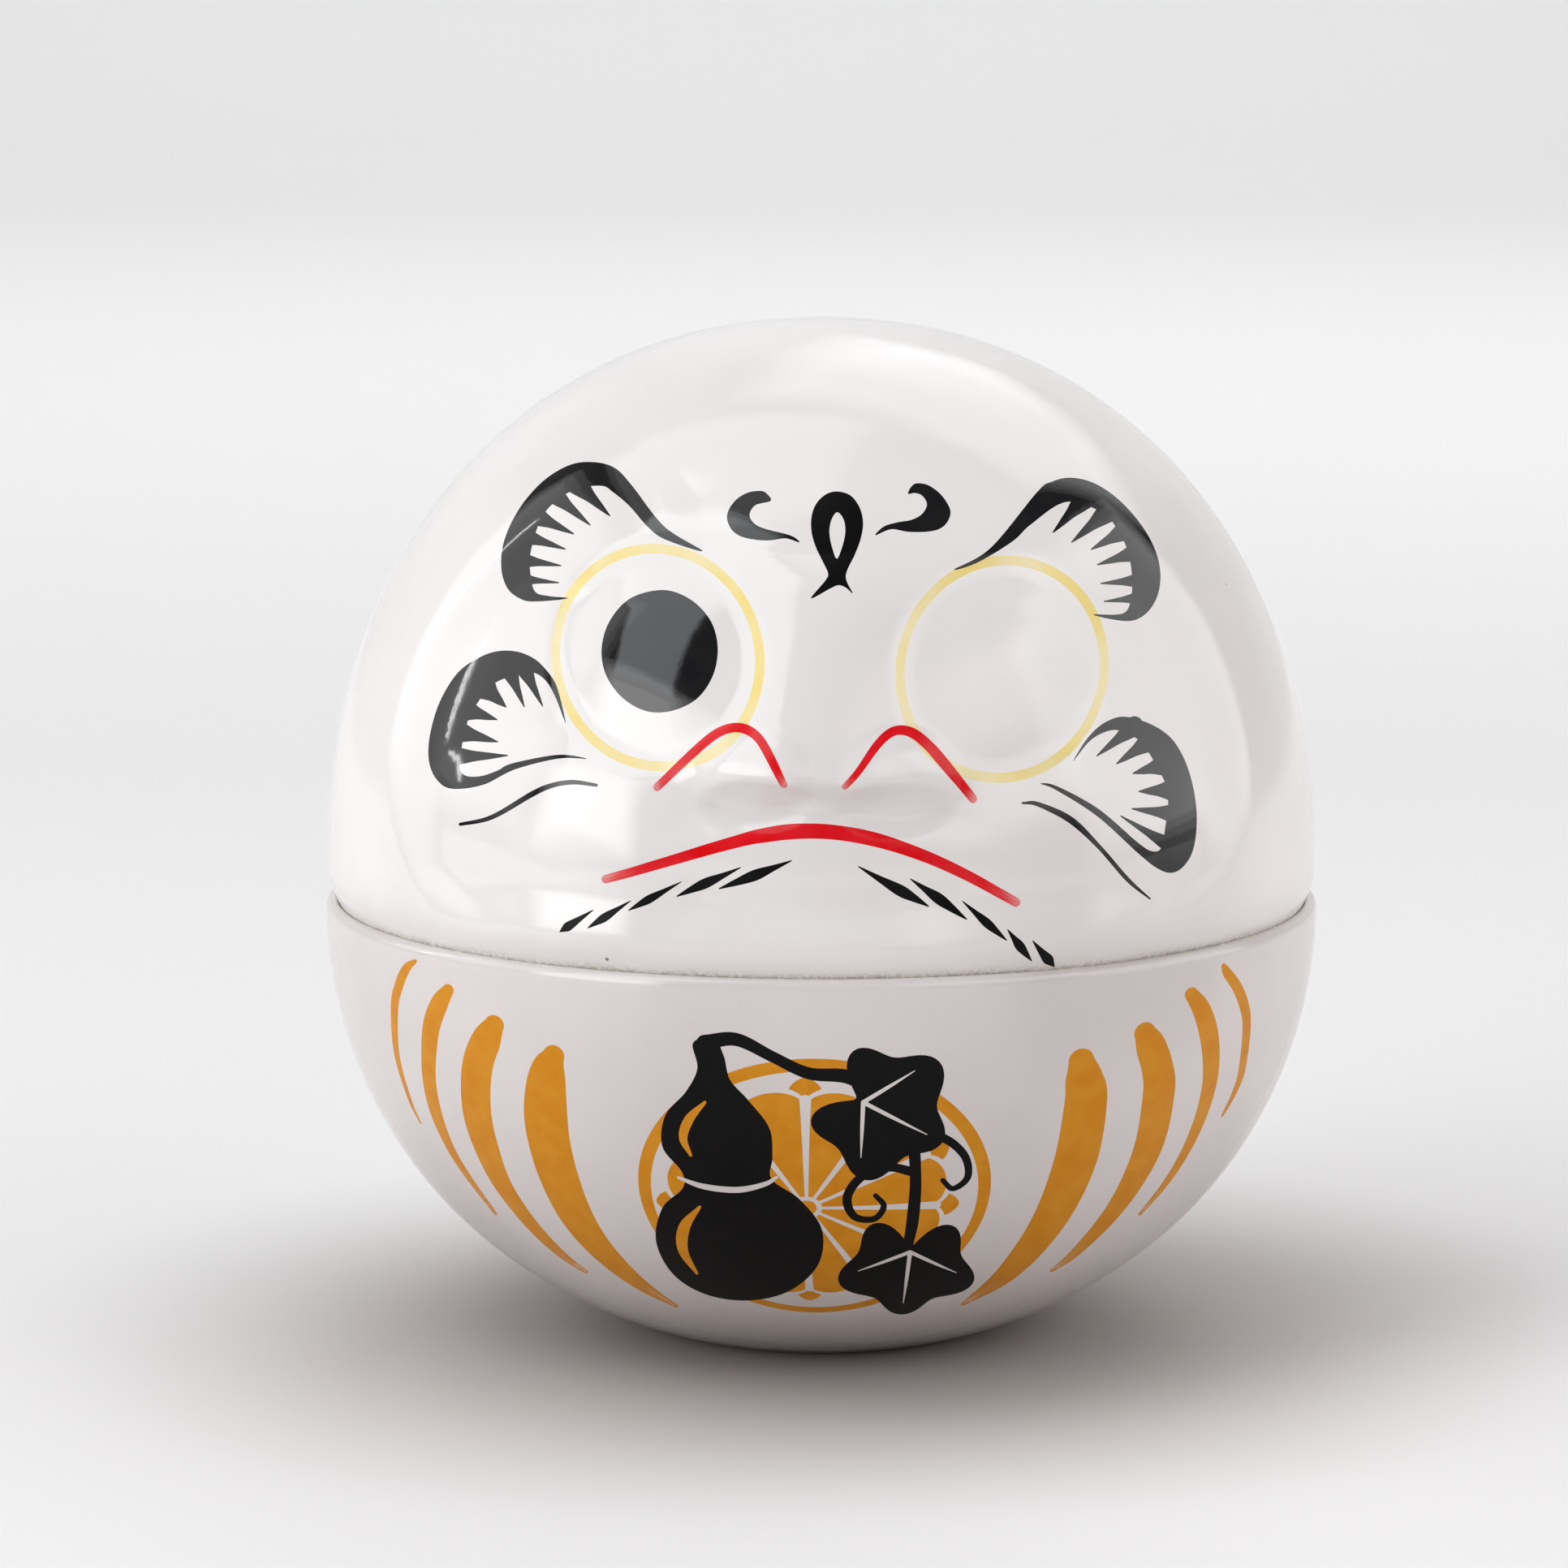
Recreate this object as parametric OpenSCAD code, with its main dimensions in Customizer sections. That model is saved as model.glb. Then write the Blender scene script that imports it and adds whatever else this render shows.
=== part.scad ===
// Daruma tea set: a tumbler doll of glazed porcelain that comes apart into a pot, a strainer lid,
// a small cup and a head that is the second cup.
// Millimetres, +Z up. The origin is the centre of the foot, and the face looks along -Y.

/* [Doll] */
// Radius of the pot at its widest
pot_r = 50; // [46:0.5:54]
// Height from the table to the widest ring of the pot
pot_wide_z = 44.3; // [44:0.1:46]
// Roundness of the pot in section: 2 is an ellipse, more is squarer
pot_n = 2.11; // [2:0.01:2.4]
// Radius of the flat that the doll stands on
foot_r = 16; // [14:0.5:20]
// Radius of the head at its widest
head_r = 49.8; // [45.8:0.1:53.8]
// Height of the head's crown above the table
crown_z = 102; // [92:0.5:108]
// Roundness of the head in section
head_n = 2.13; // [2:0.01:2.4]
// Thickness of the cast walls
wall = 3.8; // [3.4:0.1:4.2]

/* [Seats] */
// Height of the lip round the head
lip_z = 44; // [43.2:0.1:44]
// Thickness of the lip
lip_t = 1.2; // [1:0.1:1.6]
// Depth of the head's seat under the lip
seat_depth = 2.2; // [1.6:0.1:2.6]
// Radial gap between the head and the lip
head_gap = 0.4; // [0.3:0.1:0.6]
// Height of the shoulder that the lid rests on
lid_seat_z = 38.2; // [37.2:0.1:38.4]
// Radius of the pot's throat
throat_r = 43.2; // [42.8:0.1:43.6]

/* [Face] */
// Depth of the face below the hood round it
face_depth = 1.2; // [0.4:0.1:1.6]
// Half the width of the face
face_half_w = 38.5; // [36:0.5:40]
// Top of the face
face_top_z = 90; // [86:0.5:92]
// Bottom of the face
face_bottom_z = 46; // [45:0.5:50]
// Radius of the ball at the tip of the nose
nose_r = 8.5; // [6:0.5:10]
// Height of the tip of the nose
nose_z = 65; // [60:0.5:70]
// How far the tip of the nose stands out from the axis
nose_reach = 50; // [49:0.1:50]

/* [Lid] */
// Thickness of the lid's plate
lid_t = 3; // [2.8:0.1:3.2]
// Depth of the skirt below the plate
skirt_h = 4.2; // [3.6:0.1:5]
// Radius of the skirt
skirt_r = 42.6; // [42.2:0.1:42.7]
// Height of the boss that the small cup fits over
boss_h = 1; // [0.6:0.1:1.4]
// Radius of one strainer hole
strain_r = 0.9; // [0.6:0.1:1]
// Radius of the knob's cap
knob_r = 9; // [7:0.5:11]
// Height of the knob above the boss
knob_h = 9.4; // [8:0.2:12]

/* [Small cup] */
// Radius of the cup's rim
cup_r = 33; // [32.7:0.1:33.5]
// Height of the cup from rim to foot
cup_h = 44; // [38:0.5:46]
// Thickness of the cup's wall
cup_wall = 2.4; // [2.2:0.1:2.6]
// Roundness of the cup in section
cup_n = 2.3; // [2:0.05:2.6]
// Radius of the cup's foot ring
cup_foot_r = 14; // [12:0.5:16]

/* [Hidden] */
$fn = 64;

glaze_white = "whitesmoke";
bare_clay = "linen";
steps = 14;                                // straight spans in a quarter of a section
seat_z = lip_z - seat_depth;               // the head's rim stands here
lip_in_r = pot_r - lip_t;
seat_in_r = pot_r - wall;                  // wall between the head's seat and the lid's shoulder
throat_h = 3;                              // height of the throat below the lid's shoulder
foot_recess = 1;
foot_land = 3;                             // width of the ring that touches the table
pour_r = 12;                               // radius of the dip in the lip that tea pours over
pour_depth = 1.4;
// The outer section passes through the edge of the foot.
pot_half_h = pot_wide_z / pow(1 - pow(foot_r / pot_r, pot_n), 1 / pot_n);

head_wide_z = pot_wide_z + 3.2;
head_half_h = crown_z - head_wide_z;
rim_r = lip_in_r - head_gap;               // the head's rim inside the lip
rim_round = 0.8;
rim_top_z = lip_z - 0.4;                   // the wall swells out above here
rim_in_r = head_r - wall - 0.8;

lid_r = seat_in_r - 0.4;
lid_top_z = lid_seat_z + lid_t;
skirt_t = 3.2;
seal_groove = 1;                           // depth of the groove that holds the seal
seal_h = 1.8;
seal_z = lid_seat_z - 3;                   // bottom of the groove
seal_r = throat_r - 0.2;
strain_rows = [[35, 9, 6], [37.4, 10, 5.6]];   // radius, holes, degrees between holes
vent_r = 1;
vent_y = -36;

cup_z = lid_top_z;                         // the cup stands on its rim on the lid
cup_in_r = cup_r - cup_wall;
boss_r = cup_in_r - 0.5;
cup_foot_h = 3;
cup_foot_t = 2.8;

// Point at angle a on a quarter of a rounded section with half axes r and h.
function rounded(r, h, n, a) = [r * pow(cos(a), 2 / n), h * pow(sin(a), 2 / n)];

// Radius of that section at height z.
function section_r(r, h, n, z) = r * pow(1 - pow(abs(z) / h, n), 1 / n);

// The angle at which that section is z high.
function angle_at(h, n, z) = asin(pow(z / h, n / 2));

// Points up a pot wall whose half axes are r and h, from height z0 to height z1.
function pot_side(r, h, z0, z1) =
    let (a0 = angle_at(h, pot_n, pot_wide_z - z0), a1 = angle_at(h, pot_n, pot_wide_z - z1))
    [for (i = [0 : steps])
        let (p = rounded(r, h, pot_n, a0 + (a1 - a0) * i / steps))
        [p[0], pot_wide_z - p[1]]];

// Points up a head wall from its widest ring to its crown.
function dome(r, h) =
    [for (i = [0 : steps])
        let (p = rounded(r, h, head_n, 90 * i / steps))
        [max(0, p[0]), head_wide_z + p[1]]];

// Outer section of the head, set in by d, from the rim up to the crown and back down the axis.
function head_outline(d) =
    let (rise = head_wide_z - rim_top_z)
    concat(
        [[0, seat_z], [rim_r - rim_round - d, seat_z], [rim_r - d, seat_z + rim_round]],
        [for (i = [0 : 2]) let (t = i / 3)
            [rim_r - d + (head_r - rim_r) * sin(90 * t), rim_top_z + rise * t]],
        dome(head_r - d, head_half_h - d));

// The face's window: a rounded block that runs from inside the wall out past the front.
module face_window() {
    corner_r = (face_top_z - face_bottom_z) / 2;
    side = face_half_w - corner_r;
    translate([0, 0, face_bottom_z + corner_r]) rotate([90, 0, 0]) {
        for (x = [-side, side]) translate([x, 0, 0]) cylinder(h = pot_r + 10, r = corner_r);
        translate([-side, -corner_r, 0]) cube([2 * side, 2 * corner_r, pot_r + 10]);
    }
}

// The nose: a ball at the tip, and a bridge that sinks into the brow.
module nose() {
    bridge_r = nose_r * 0.55;
    bridge_h = 22;
    lean = 24;                             // degrees that the bridge leans back
    translate([0, -(nose_reach - nose_r), nose_z]) {
        sphere(nose_r);
        rotate([-lean, 0, 0]) translate([0, -nose_r + bridge_r + 1, 0])
            cylinder(h = bridge_h, r = bridge_r);
    }
}

module head_cup() {
    color(glaze_white) difference() {
        union() {
            difference() {
                rotate_extrude() polygon(head_outline(0));
                face_window();
            }
            rotate_extrude() polygon(head_outline(face_depth));
            nose();
        }
        head_inside();
    }
}

// The hollow of the head, open at the rim.
module head_inside() {
    rise = 1.2;
    rotate_extrude() polygon(concat(
        [[0, seat_z - 5], [rim_in_r, seat_z - 5], [rim_in_r, seat_z + rise]],
        dome(head_r - wall, head_half_h - wall)));
}

module pot_bowl() {
    inner_h = pot_wide_z - foot_recess - wall;
    lip_round = 0.4;
    section = concat(
        [[0, foot_recess], [foot_r - foot_land, foot_recess], [foot_r - foot_land, 0]],
        pot_side(pot_r, pot_half_h, 0, lip_z - 2 * lip_round),
        [[pot_r - lip_round, lip_z], [lip_in_r + lip_round, lip_z], [lip_in_r, lip_z - lip_round],
         [lip_in_r, seat_z], [seat_in_r, seat_z], [seat_in_r, lid_seat_z],
         [throat_r, lid_seat_z], [throat_r, lid_seat_z - throat_h],
         [section_r(seat_in_r, inner_h, pot_n, pot_wide_z - lid_seat_z + throat_h + 2),
          lid_seat_z - throat_h - 2]],
        pot_inside_down(inner_h, lid_seat_z - throat_h - 2));
    color(glaze_white) difference() {
        rotate_extrude() polygon(section);
        pour_dip();
    }
}

// Points down the pot's inner wall from height z to the middle of its floor.
function pot_inside_down(h, z) =
    let (a0 = angle_at(h, pot_n, pot_wide_z - z))
    [for (i = [1 : steps])
        let (p = rounded(seat_in_r, h, pot_n, a0 + (90 - a0) * i / steps))
        [max(0, p[0]), pot_wide_z - p[1]]];

// A dip in the lip at the back.
module pour_dip() {
    translate([0, pot_r + 2, lip_z + pour_r - pour_depth])
        rotate([90, 0, 0]) cylinder(h = 6, r = pour_r);
}

module lid_disc() {
    color(glaze_white) difference() {
        rotate_extrude() polygon([
            [0, lid_seat_z], [skirt_r - skirt_t, lid_seat_z], [skirt_r - skirt_t, lid_seat_z - skirt_h],
            [skirt_r - 0.6, lid_seat_z - skirt_h], [skirt_r, lid_seat_z - skirt_h + 0.6],
            [skirt_r, seal_z], [skirt_r - seal_groove, seal_z],
            [skirt_r - seal_groove, seal_z + seal_h], [skirt_r, seal_z + seal_h], [skirt_r, lid_seat_z],
            [lid_r, lid_seat_z], [lid_r, lid_top_z - 0.8], [lid_r - 0.8, lid_top_z],
            [boss_r + 0.4, lid_top_z], [boss_r, lid_top_z + boss_h], [0, lid_top_z + boss_h]]);
        for (row = strain_rows)
            for (i = [0 : row[1] - 1])
                rotate([0, 0, (i - (row[1] - 1) / 2) * row[2]])
                    translate([0, row[0], lid_seat_z - 1]) cylinder(h = lid_t + 2, r = strain_r);
        translate([0, vent_y, lid_seat_z - 1]) cylinder(h = lid_t + 2, r = vent_r);
    }
}

module lid_knob() {
    neck_r = knob_r * 0.6;
    base = lid_top_z + boss_h;
    cap_z = base + knob_h * 0.45;
    cap_h = knob_h * 0.55;
    color(glaze_white) rotate_extrude() polygon(concat(
        [[0, base], [neck_r + 1.4, base], [neck_r + 0.4, base + 0.8], [neck_r, base + 2]],
        [[neck_r + 0.6, cap_z - 0.8], [knob_r - 0.6, cap_z]],
        [for (i = [0 : 8]) let (p = rounded(knob_r, cap_h - 0.6, 2.2, 90 * i / 8))
            [max(0, p[0]), cap_z + 0.6 + p[1]]]));
}

// Silicone ring in the skirt's groove.
module lid_seal() {
    color("gainsboro") rotate_extrude() polygon([
        [skirt_r - seal_groove, seal_z], [skirt_r, seal_z],
        [seal_r, seal_z + seal_h * 0.35], [seal_r, seal_z + seal_h * 0.65],
        [skirt_r, seal_z + seal_h], [skirt_r - seal_groove, seal_z + seal_h]]);
}

// The small cup, upside down over the knob.
module small_cup() {
    body_h = cup_h - cup_foot_h;
    foot_a = acos(pow((cup_foot_r + 0.5) / cup_r, cup_n / 2));
    inner_h = body_h - cup_wall;
    outside = [for (i = [0 : steps])
        let (p = rounded(cup_r, body_h, cup_n, foot_a * i / steps)) [p[0], max(0.6, p[1])]];
    inside = [for (i = [steps : -1 : 0])
        let (p = rounded(cup_in_r, inner_h, cup_n, 90 * i / steps)) [max(0, p[0]), max(0.6, p[1])]];
    color(glaze_white) translate([0, 0, cup_z]) rotate_extrude() polygon(concat(
        [[cup_r - 0.6, 0]],
        outside,
        [[cup_foot_r, body_h + 0.4], [cup_foot_r - 0.5, cup_h], [cup_foot_r - cup_foot_t, cup_h],
         [cup_foot_r - cup_foot_t, cup_h - 1.8], [0, cup_h - 1.8]],
        inside,
        [[cup_in_r + 0.6, 0]]));
}

pot_bowl();
lid_disc();
lid_knob();
lid_seal();
small_cup();
head_cup();
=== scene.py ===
"""Looks of a porcelain daruma tea set: a painted head cup on a painted pot, a lid and a small cup inside.

Shapes are worked out in millimetres and written as meshes in metres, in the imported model's own frame:
+Z up, the face along -Y, the origin at the centre of the foot.
"""
import math

import bpy
import numpy as np
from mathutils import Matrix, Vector
from mathutils.geometry import delaunay_2d_cdt
from mathutils.kdtree import KDTree


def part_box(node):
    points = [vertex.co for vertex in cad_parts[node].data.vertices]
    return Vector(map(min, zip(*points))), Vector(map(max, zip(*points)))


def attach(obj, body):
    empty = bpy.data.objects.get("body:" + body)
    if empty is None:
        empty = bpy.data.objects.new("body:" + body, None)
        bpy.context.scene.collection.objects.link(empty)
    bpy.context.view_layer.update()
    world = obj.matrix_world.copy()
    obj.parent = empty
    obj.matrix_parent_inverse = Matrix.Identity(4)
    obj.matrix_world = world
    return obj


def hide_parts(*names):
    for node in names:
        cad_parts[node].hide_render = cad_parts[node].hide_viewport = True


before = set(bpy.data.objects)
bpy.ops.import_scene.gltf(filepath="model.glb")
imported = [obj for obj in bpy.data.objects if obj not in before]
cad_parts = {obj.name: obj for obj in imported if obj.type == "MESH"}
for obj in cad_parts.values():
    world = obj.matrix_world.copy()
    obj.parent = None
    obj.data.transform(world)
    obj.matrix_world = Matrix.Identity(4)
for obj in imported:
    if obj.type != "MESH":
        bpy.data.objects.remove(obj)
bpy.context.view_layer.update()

MM = 0.001


def box_mm(node):
    """Lowest and highest corner of a CAD node, in millimetres."""
    low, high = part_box(node)
    return np.array(low) / MM, np.array(high) / MM


def new_mesh(name, verts, faces):
    mesh = bpy.data.meshes.new(name)
    mesh.from_pydata(verts, [], faces)
    return mesh


def new_object(name, data):
    made = bpy.data.objects.new(name, data)
    bpy.context.scene.collection.objects.link(made)
    return made


def without_repeats(corners):
    """A face's corners, each only once, where a quad ends at the axis."""
    return [c for n, c in enumerate(corners) if c not in corners[:n]]


POT_HIGH = box_mm("pot_bowl")[1]
HEAD_LOW, HEAD_HIGH = box_mm("head_cup")
LID_LOW, LID_HIGH = box_mm("lid_disc")
KNOB_LOW, KNOB_HIGH = box_mm("lid_knob")
CUP_LOW, CUP_HIGH = box_mm("small_cup")
SEAL_LOW, SEAL_HIGH = box_mm("lid_seal")

# Pot: a rounded section about its widest ring, cut off by the foot.
POT_R = POT_HIGH[0]
POT_N = 2.11
POT_WIDE_Z = 44.3
FOOT_R = 16.0
WALL = 3.8
LIP_Z = POT_HIGH[2]
LIP_T = 1.2
SEAT_Z = HEAD_LOW[2]
SHOULDER_Z = 38.2
THROAT_R = 43.2
THROAT_H = 3.0
FOOT_LAND = 3.0
FOOT_RECESS = 1.0
PAINT_LENGTH = 62.0          # how far down the pot's outside its marks can lie, along the surface
DIP_DEPTH, DIP_R, DIP_HALF, DIP_FADE = 1.4, 12.0, 5.6, 2.2     # pouring dip in the lip

# Head: a rounded section that stands on the seat inside the pot's lip.
HEAD_R = HEAD_HIGH[0]
HEAD_N = 2.13
HEAD_WIDE_Z = 47.5
CROWN_Z = HEAD_HIGH[2]
RIM_R = POT_R - LIP_T - 0.2
RIM_SWELL_Z = LIP_Z - 0.4

# Lid, knob and small cup, where the CAD's boxes don't say.
PLATE_T = 3.0
SKIRT_R, SKIRT_T = 42.6, 3.2
GROOVE_DEPTH, GROOVE_H, GROOVE_DROP = 1.0, 1.8, 3.0     # drop: from the plate to the groove's lower edge
VENT = (0.0, -36.0, 1.0)             # x, y, radius
STRAINER_ROWS = ((35.0, 9, 6.0), (37.4, 10, 5.6))       # distance from the axis, holes, degrees between
STRAINER_R = 0.9
KNOB_NECK, KNOB_CAP = 0.6, 0.45      # neck as a share of the radius, the cap's start as one of the height
CUP_WALL = 2.4
CUP_N = 2.3
CUP_PLAY = 0.5                       # round the boss that centres the cup
CUP_FOOT_R, CUP_FOOT_T, CUP_FOOT_H, CUP_FOOT_RECESS = 14.0, 2.8, 3.0, 1.8
SEAL_T = 1.4

SEGMENTS = 192
PATCH_SEGMENTS = 36          # on each side of the front: the painted part of a wall
POT_PATCH = (3.6, 43.0)      # lowest and highest z of the painted part
HEAD_PATCH = (44.6, 93.5)
POT_WORN = (43.75, 44.5)     # z over which the glaze wears to bare clay, towards the seam
HEAD_WORN = (44.75, 43.7)
# strength of the painted shade on the head's glaze just above the seam, where the head curves in over the pot
HEAD_SEAM_SHADE = 0.2


# ---------------------------------------------------------------- sections

def quarter(r, h, n, a0, a1, count):
    """Points (radius, height) on a rounded quarter with half axes r and h, from angle a0 to a1 in degrees."""
    a = np.radians(np.linspace(a0, a1, count))
    c = np.clip(np.cos(a), 0, 1)
    s = np.clip(np.sin(a), 0, 1)
    return np.column_stack([r * c ** (2 / n), h * s ** (2 / n)])


def angle_at(h, n, z):
    return math.degrees(math.asin((z / h) ** (n / 2)))


def rounded_corner(before, corner, after, radius, count=7):
    """Points of an arc-like blend that replaces a sharp corner."""
    b, c, a = (np.array(p, float) for p in (before, corner, after))
    start = c + (b - c) / np.linalg.norm(b - c) * radius
    end = c + (a - c) / np.linalg.norm(a - c) * radius
    t = np.linspace(0, 1, count)[:, None]
    return (1 - t) ** 2 * start + 2 * t * (1 - t) * c + t ** 2 * end


def section(parts):
    """Joins runs of points and corners (r, z, blend radius) into one dense section."""
    flat = []
    for part in parts:
        if isinstance(part, tuple):
            flat.append(part)
        else:
            flat.extend((r, z, 0.0) for r, z in part)
    out = []
    for i, (r, z, radius) in enumerate(flat):
        if radius and 0 < i < len(flat) - 1:
            out.extend(rounded_corner(flat[i - 1][:2], (r, z), flat[i + 1][:2], radius))
        else:
            out.append((r, z))
    return np.array(out, float)


class Wall:
    """A turned wall: a closed section measured by its length s, spun about the axis."""

    def __init__(self, points):
        step = np.linalg.norm(np.diff(points, axis=0), axis=1)
        keep = np.concatenate([[True], step > 1e-6])
        points = points[keep]
        step = np.linalg.norm(np.diff(points, axis=0), axis=1)
        self.points = points
        self.s = np.concatenate([[0], np.cumsum(step)])
        self.relief = None

    def rz(self, s):
        return np.interp(s, self.s, self.points[:, 0]), np.interp(s, self.s, self.points[:, 1])

    def outer_s(self, z, s_low, s_high):
        """Length at height z on the stretch between s_low and s_high, where height only rises."""
        s = np.linspace(s_low, s_high, 4000)
        return np.interp(z, self.rz(s)[1], s)

    def place(self, theta, s):
        r, z = self.rz(s)
        x = r * np.sin(theta)
        y = -r * np.cos(theta)
        if self.relief is not None:
            y = y + self.relief(x, z, np.cos(theta), s)
        return np.column_stack([x, y, z])

    def normal(self, theta, s):
        d_theta, d_s = 0.0012, 0.06
        across = self.place(theta + d_theta, s) - self.place(theta - d_theta, s)
        along = self.place(theta, s + d_s) - self.place(theta, s - d_s)
        n = np.cross(across, along)
        return n / np.maximum(np.linalg.norm(n, axis=1)[:, None], 1e-12)

    def rings(self, longest, turn):
        """Lengths at which rings of vertices go: closer together where the section turns."""
        chosen = [0.0]
        last_dir = None
        for i in range(1, len(self.s) - 1):
            d = self.points[i + 1] - self.points[i]
            here = math.atan2(d[1], d[0])
            if last_dir is None:
                last_dir = here
            bend = abs((here - last_dir + math.pi) % (2 * math.pi) - math.pi)
            if self.s[i] - chosen[-1] > longest or bend > turn:
                chosen.append(self.s[i])
                last_dir = here
        return np.array(chosen + [self.s[-1]])


def pot_wall():
    half_h = POT_WIDE_Z / (1 - (FOOT_R / POT_R) ** POT_N) ** (1 / POT_N)
    inner_r = POT_R - WALL
    inner_h = POT_WIDE_Z - FOOT_RECESS - WALL
    neck_z = SHOULDER_Z - THROAT_H - 2
    outer = quarter(POT_R, half_h, POT_N, angle_at(half_h, POT_N, POT_WIDE_Z),
                    angle_at(half_h, POT_N, POT_WIDE_Z - LIP_Z + 1.3), 1200)
    inner = quarter(inner_r, inner_h, POT_N, angle_at(inner_h, POT_N, POT_WIDE_Z - neck_z), 90, 1200)
    outer[:, 1] = POT_WIDE_Z - outer[:, 1]
    inner[:, 1] = POT_WIDE_Z - inner[:, 1]
    inner[-1, 0] = 0
    lip_in = POT_R - LIP_T
    foot_in = FOOT_R - FOOT_LAND
    return Wall(section([
        [(0, FOOT_RECESS), (foot_in - 1.5, FOOT_RECESS)],
        (foot_in, FOOT_RECESS, 0.4), (foot_in + 0.2, 0, 0.5), (FOOT_R, 0, 0.35),
        outer[16:],
        (POT_R - 0.02, LIP_Z, 0.95), (lip_in, LIP_Z, 0.24),
        (lip_in, SEAT_Z, 0.3), (inner_r, SEAT_Z, 0.35), (inner_r, SHOULDER_Z, 0.3),
        (THROAT_R, SHOULDER_Z, 0.35), (THROAT_R, SHOULDER_Z - THROAT_H, 0.6),
        inner]))


def head_wall():
    inner_r = HEAD_R - WALL
    rim_in = inner_r - 0.8
    outer = quarter(HEAD_R, CROWN_Z - HEAD_WIDE_Z, HEAD_N, 0, 90, 1600)
    inner = quarter(inner_r, CROWN_Z - HEAD_WIDE_Z - WALL, HEAD_N, 90, 6, 1400)
    outer[:, 1] += HEAD_WIDE_Z
    inner[:, 1] += HEAD_WIDE_Z
    outer[-1, 0] = 0
    inner[0, 0] = 0
    t = np.linspace(0, 1, 60)[:-1]
    swell = np.column_stack([RIM_R + (HEAD_R - RIM_R) * np.sin(t * math.pi / 2),
                             RIM_SWELL_Z + (HEAD_WIDE_Z - RIM_SWELL_Z) * t])
    return Wall(section([inner, (rim_in, SEAT_Z + 1.2, 1.0), (rim_in, SEAT_Z, 0.5), (RIM_R, SEAT_Z, 0.7),
                         swell, outer]))


# ---------------------------------------------------------------- the face's relief

def step_up(low, high, v):
    t = np.clip((v - low) / (high - low), 0, 1)
    return t * t * (3 - 2 * t)


def bump(x, z, cx, cz, rx, rz):
    """Smooth hill of height 1 about (cx, cz), gone at one radius."""
    q = np.clip(1 - ((x - cx) / rx) ** 2 - ((z - cz) / rz) ** 2, 0, 1)
    return q * q * (3 - 2 * q)


EYES = {"left": (-15.6, 73.3), "right": (17.2, 72.2)}
EYE_R = 9.8
SOCKET_DEPTH, SOCKET_EDGE = 0.3, 1.6
EYEBALL_R, EYEBALL_RISE = 8.2, 0.62
NOSE_X, NOSE_RISE = 0.7, 2.85

# Swellings of the face, with hollows negative: centre x and z, radius across and up, height.
SWELLS = [
    (-6.2, 63.7, 6.2, 4.6, 0.95), (7.4, 63.4, 6.2, 4.6, 0.95),       # nostril wings
    (-6.0, 60.2, 6.0, 3.0, -0.75), (7.0, 59.9, 6.0, 3.0, -0.75),     # hollows under them
    (-25, 55, 15, 12, 0.9), (25, 54, 15, 12, 0.9),                   # cheeks
    (0, 55.5, 17, 6, 0.7),                                           # muzzle
    (-23, 85, 12, 8, 0.4), (24, 84, 12, 8, 0.4)]                     # brows


def inside_distance(x, z, outline):
    """Distance from each point to a closed outline, positive inside it."""
    a = outline
    b = np.roll(outline, -1, axis=0)
    best = np.full(x.shape, 1e9)
    inside = np.zeros(x.shape, bool)
    for (ax, az), (bx, bz) in zip(a, b):
        ex, ez = bx - ax, bz - az
        t = np.clip(((x - ax) * ex + (z - az) * ez) / (ex * ex + ez * ez), 0, 1)
        best = np.minimum(best, np.hypot(x - ax - t * ex, z - az - t * ez))
        crosses = (az > z) != (bz > z)
        if abs(ez) > 1e-9:
            inside ^= crosses & (x < ax + (z - az) * ex / ez)
    return np.where(inside, best, -best)


def spline(points, step=0.3, closed=False):
    """Smooth curve through points, with points about one step apart."""
    p = np.array(points, float)
    n = len(p)
    spans = n if closed else n - 1
    out = []
    for i in range(spans):
        if closed:
            p0, p1, p2, p3 = (p[(i + k) % n] for k in (-1, 0, 1, 2))
        else:
            p1, p2 = p[i], p[i + 1]
            p0 = p[i - 1] if i else 2 * p1 - p2
            p3 = p[i + 2] if i + 2 < n else 2 * p2 - p1
        count = max(2, int(math.ceil(np.linalg.norm(p2[:2] - p1[:2]) / step)))
        t = np.arange(count)[:, None] / count
        tangent1 = (p2 - p0) / 2
        tangent2 = (p3 - p1) / 2
        out.append((2 * t ** 3 - 3 * t ** 2 + 1) * p1 + (t ** 3 - 2 * t ** 2 + t) * tangent1
                   + (3 * t ** 2 - 2 * t ** 3) * p2 + (t ** 3 - t ** 2) * tangent2)
    if not closed:
        out.append(p[-1:])
    return np.concatenate(out)


HOOD_TOP, HOOD_CHIN = (0, 91.5), (0, 39.5)
HOOD_SIDE = [(13, 90.6), (24, 87), (32.5, 79.5), (38, 70), (40.2, 60), (38.6, 51.5), (33, 45), (20, 41)]
HOOD = spline([HOOD_TOP] + HOOD_SIDE + [HOOD_CHIN] + [(-x, z) for x, z in reversed(HOOD_SIDE)],
              step=2.0, closed=True)
FACE_DEPTH = 1.3
FACE_TOP = 96                # the head is plain above this height
FACE_TURN = 0.3              # cosine of the farthest turn from the front that has relief
STEEPEST = 0.45              # the relief's shift along Y is at most its depth over this


def eye_relief(x, z):
    """Sockets, each with its eyeball."""
    depth = 0
    for cx, cz in EYES.values():
        r = np.hypot(x - cx, z - cz)
        depth = depth + SOCKET_DEPTH * step_up(EYE_R + SOCKET_EDGE, EYE_R - SOCKET_EDGE, r)
        depth = depth - EYEBALL_RISE * np.clip(1 - (r / EYEBALL_R) ** 2, 0, 1) ** 1.2
    return depth


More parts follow.
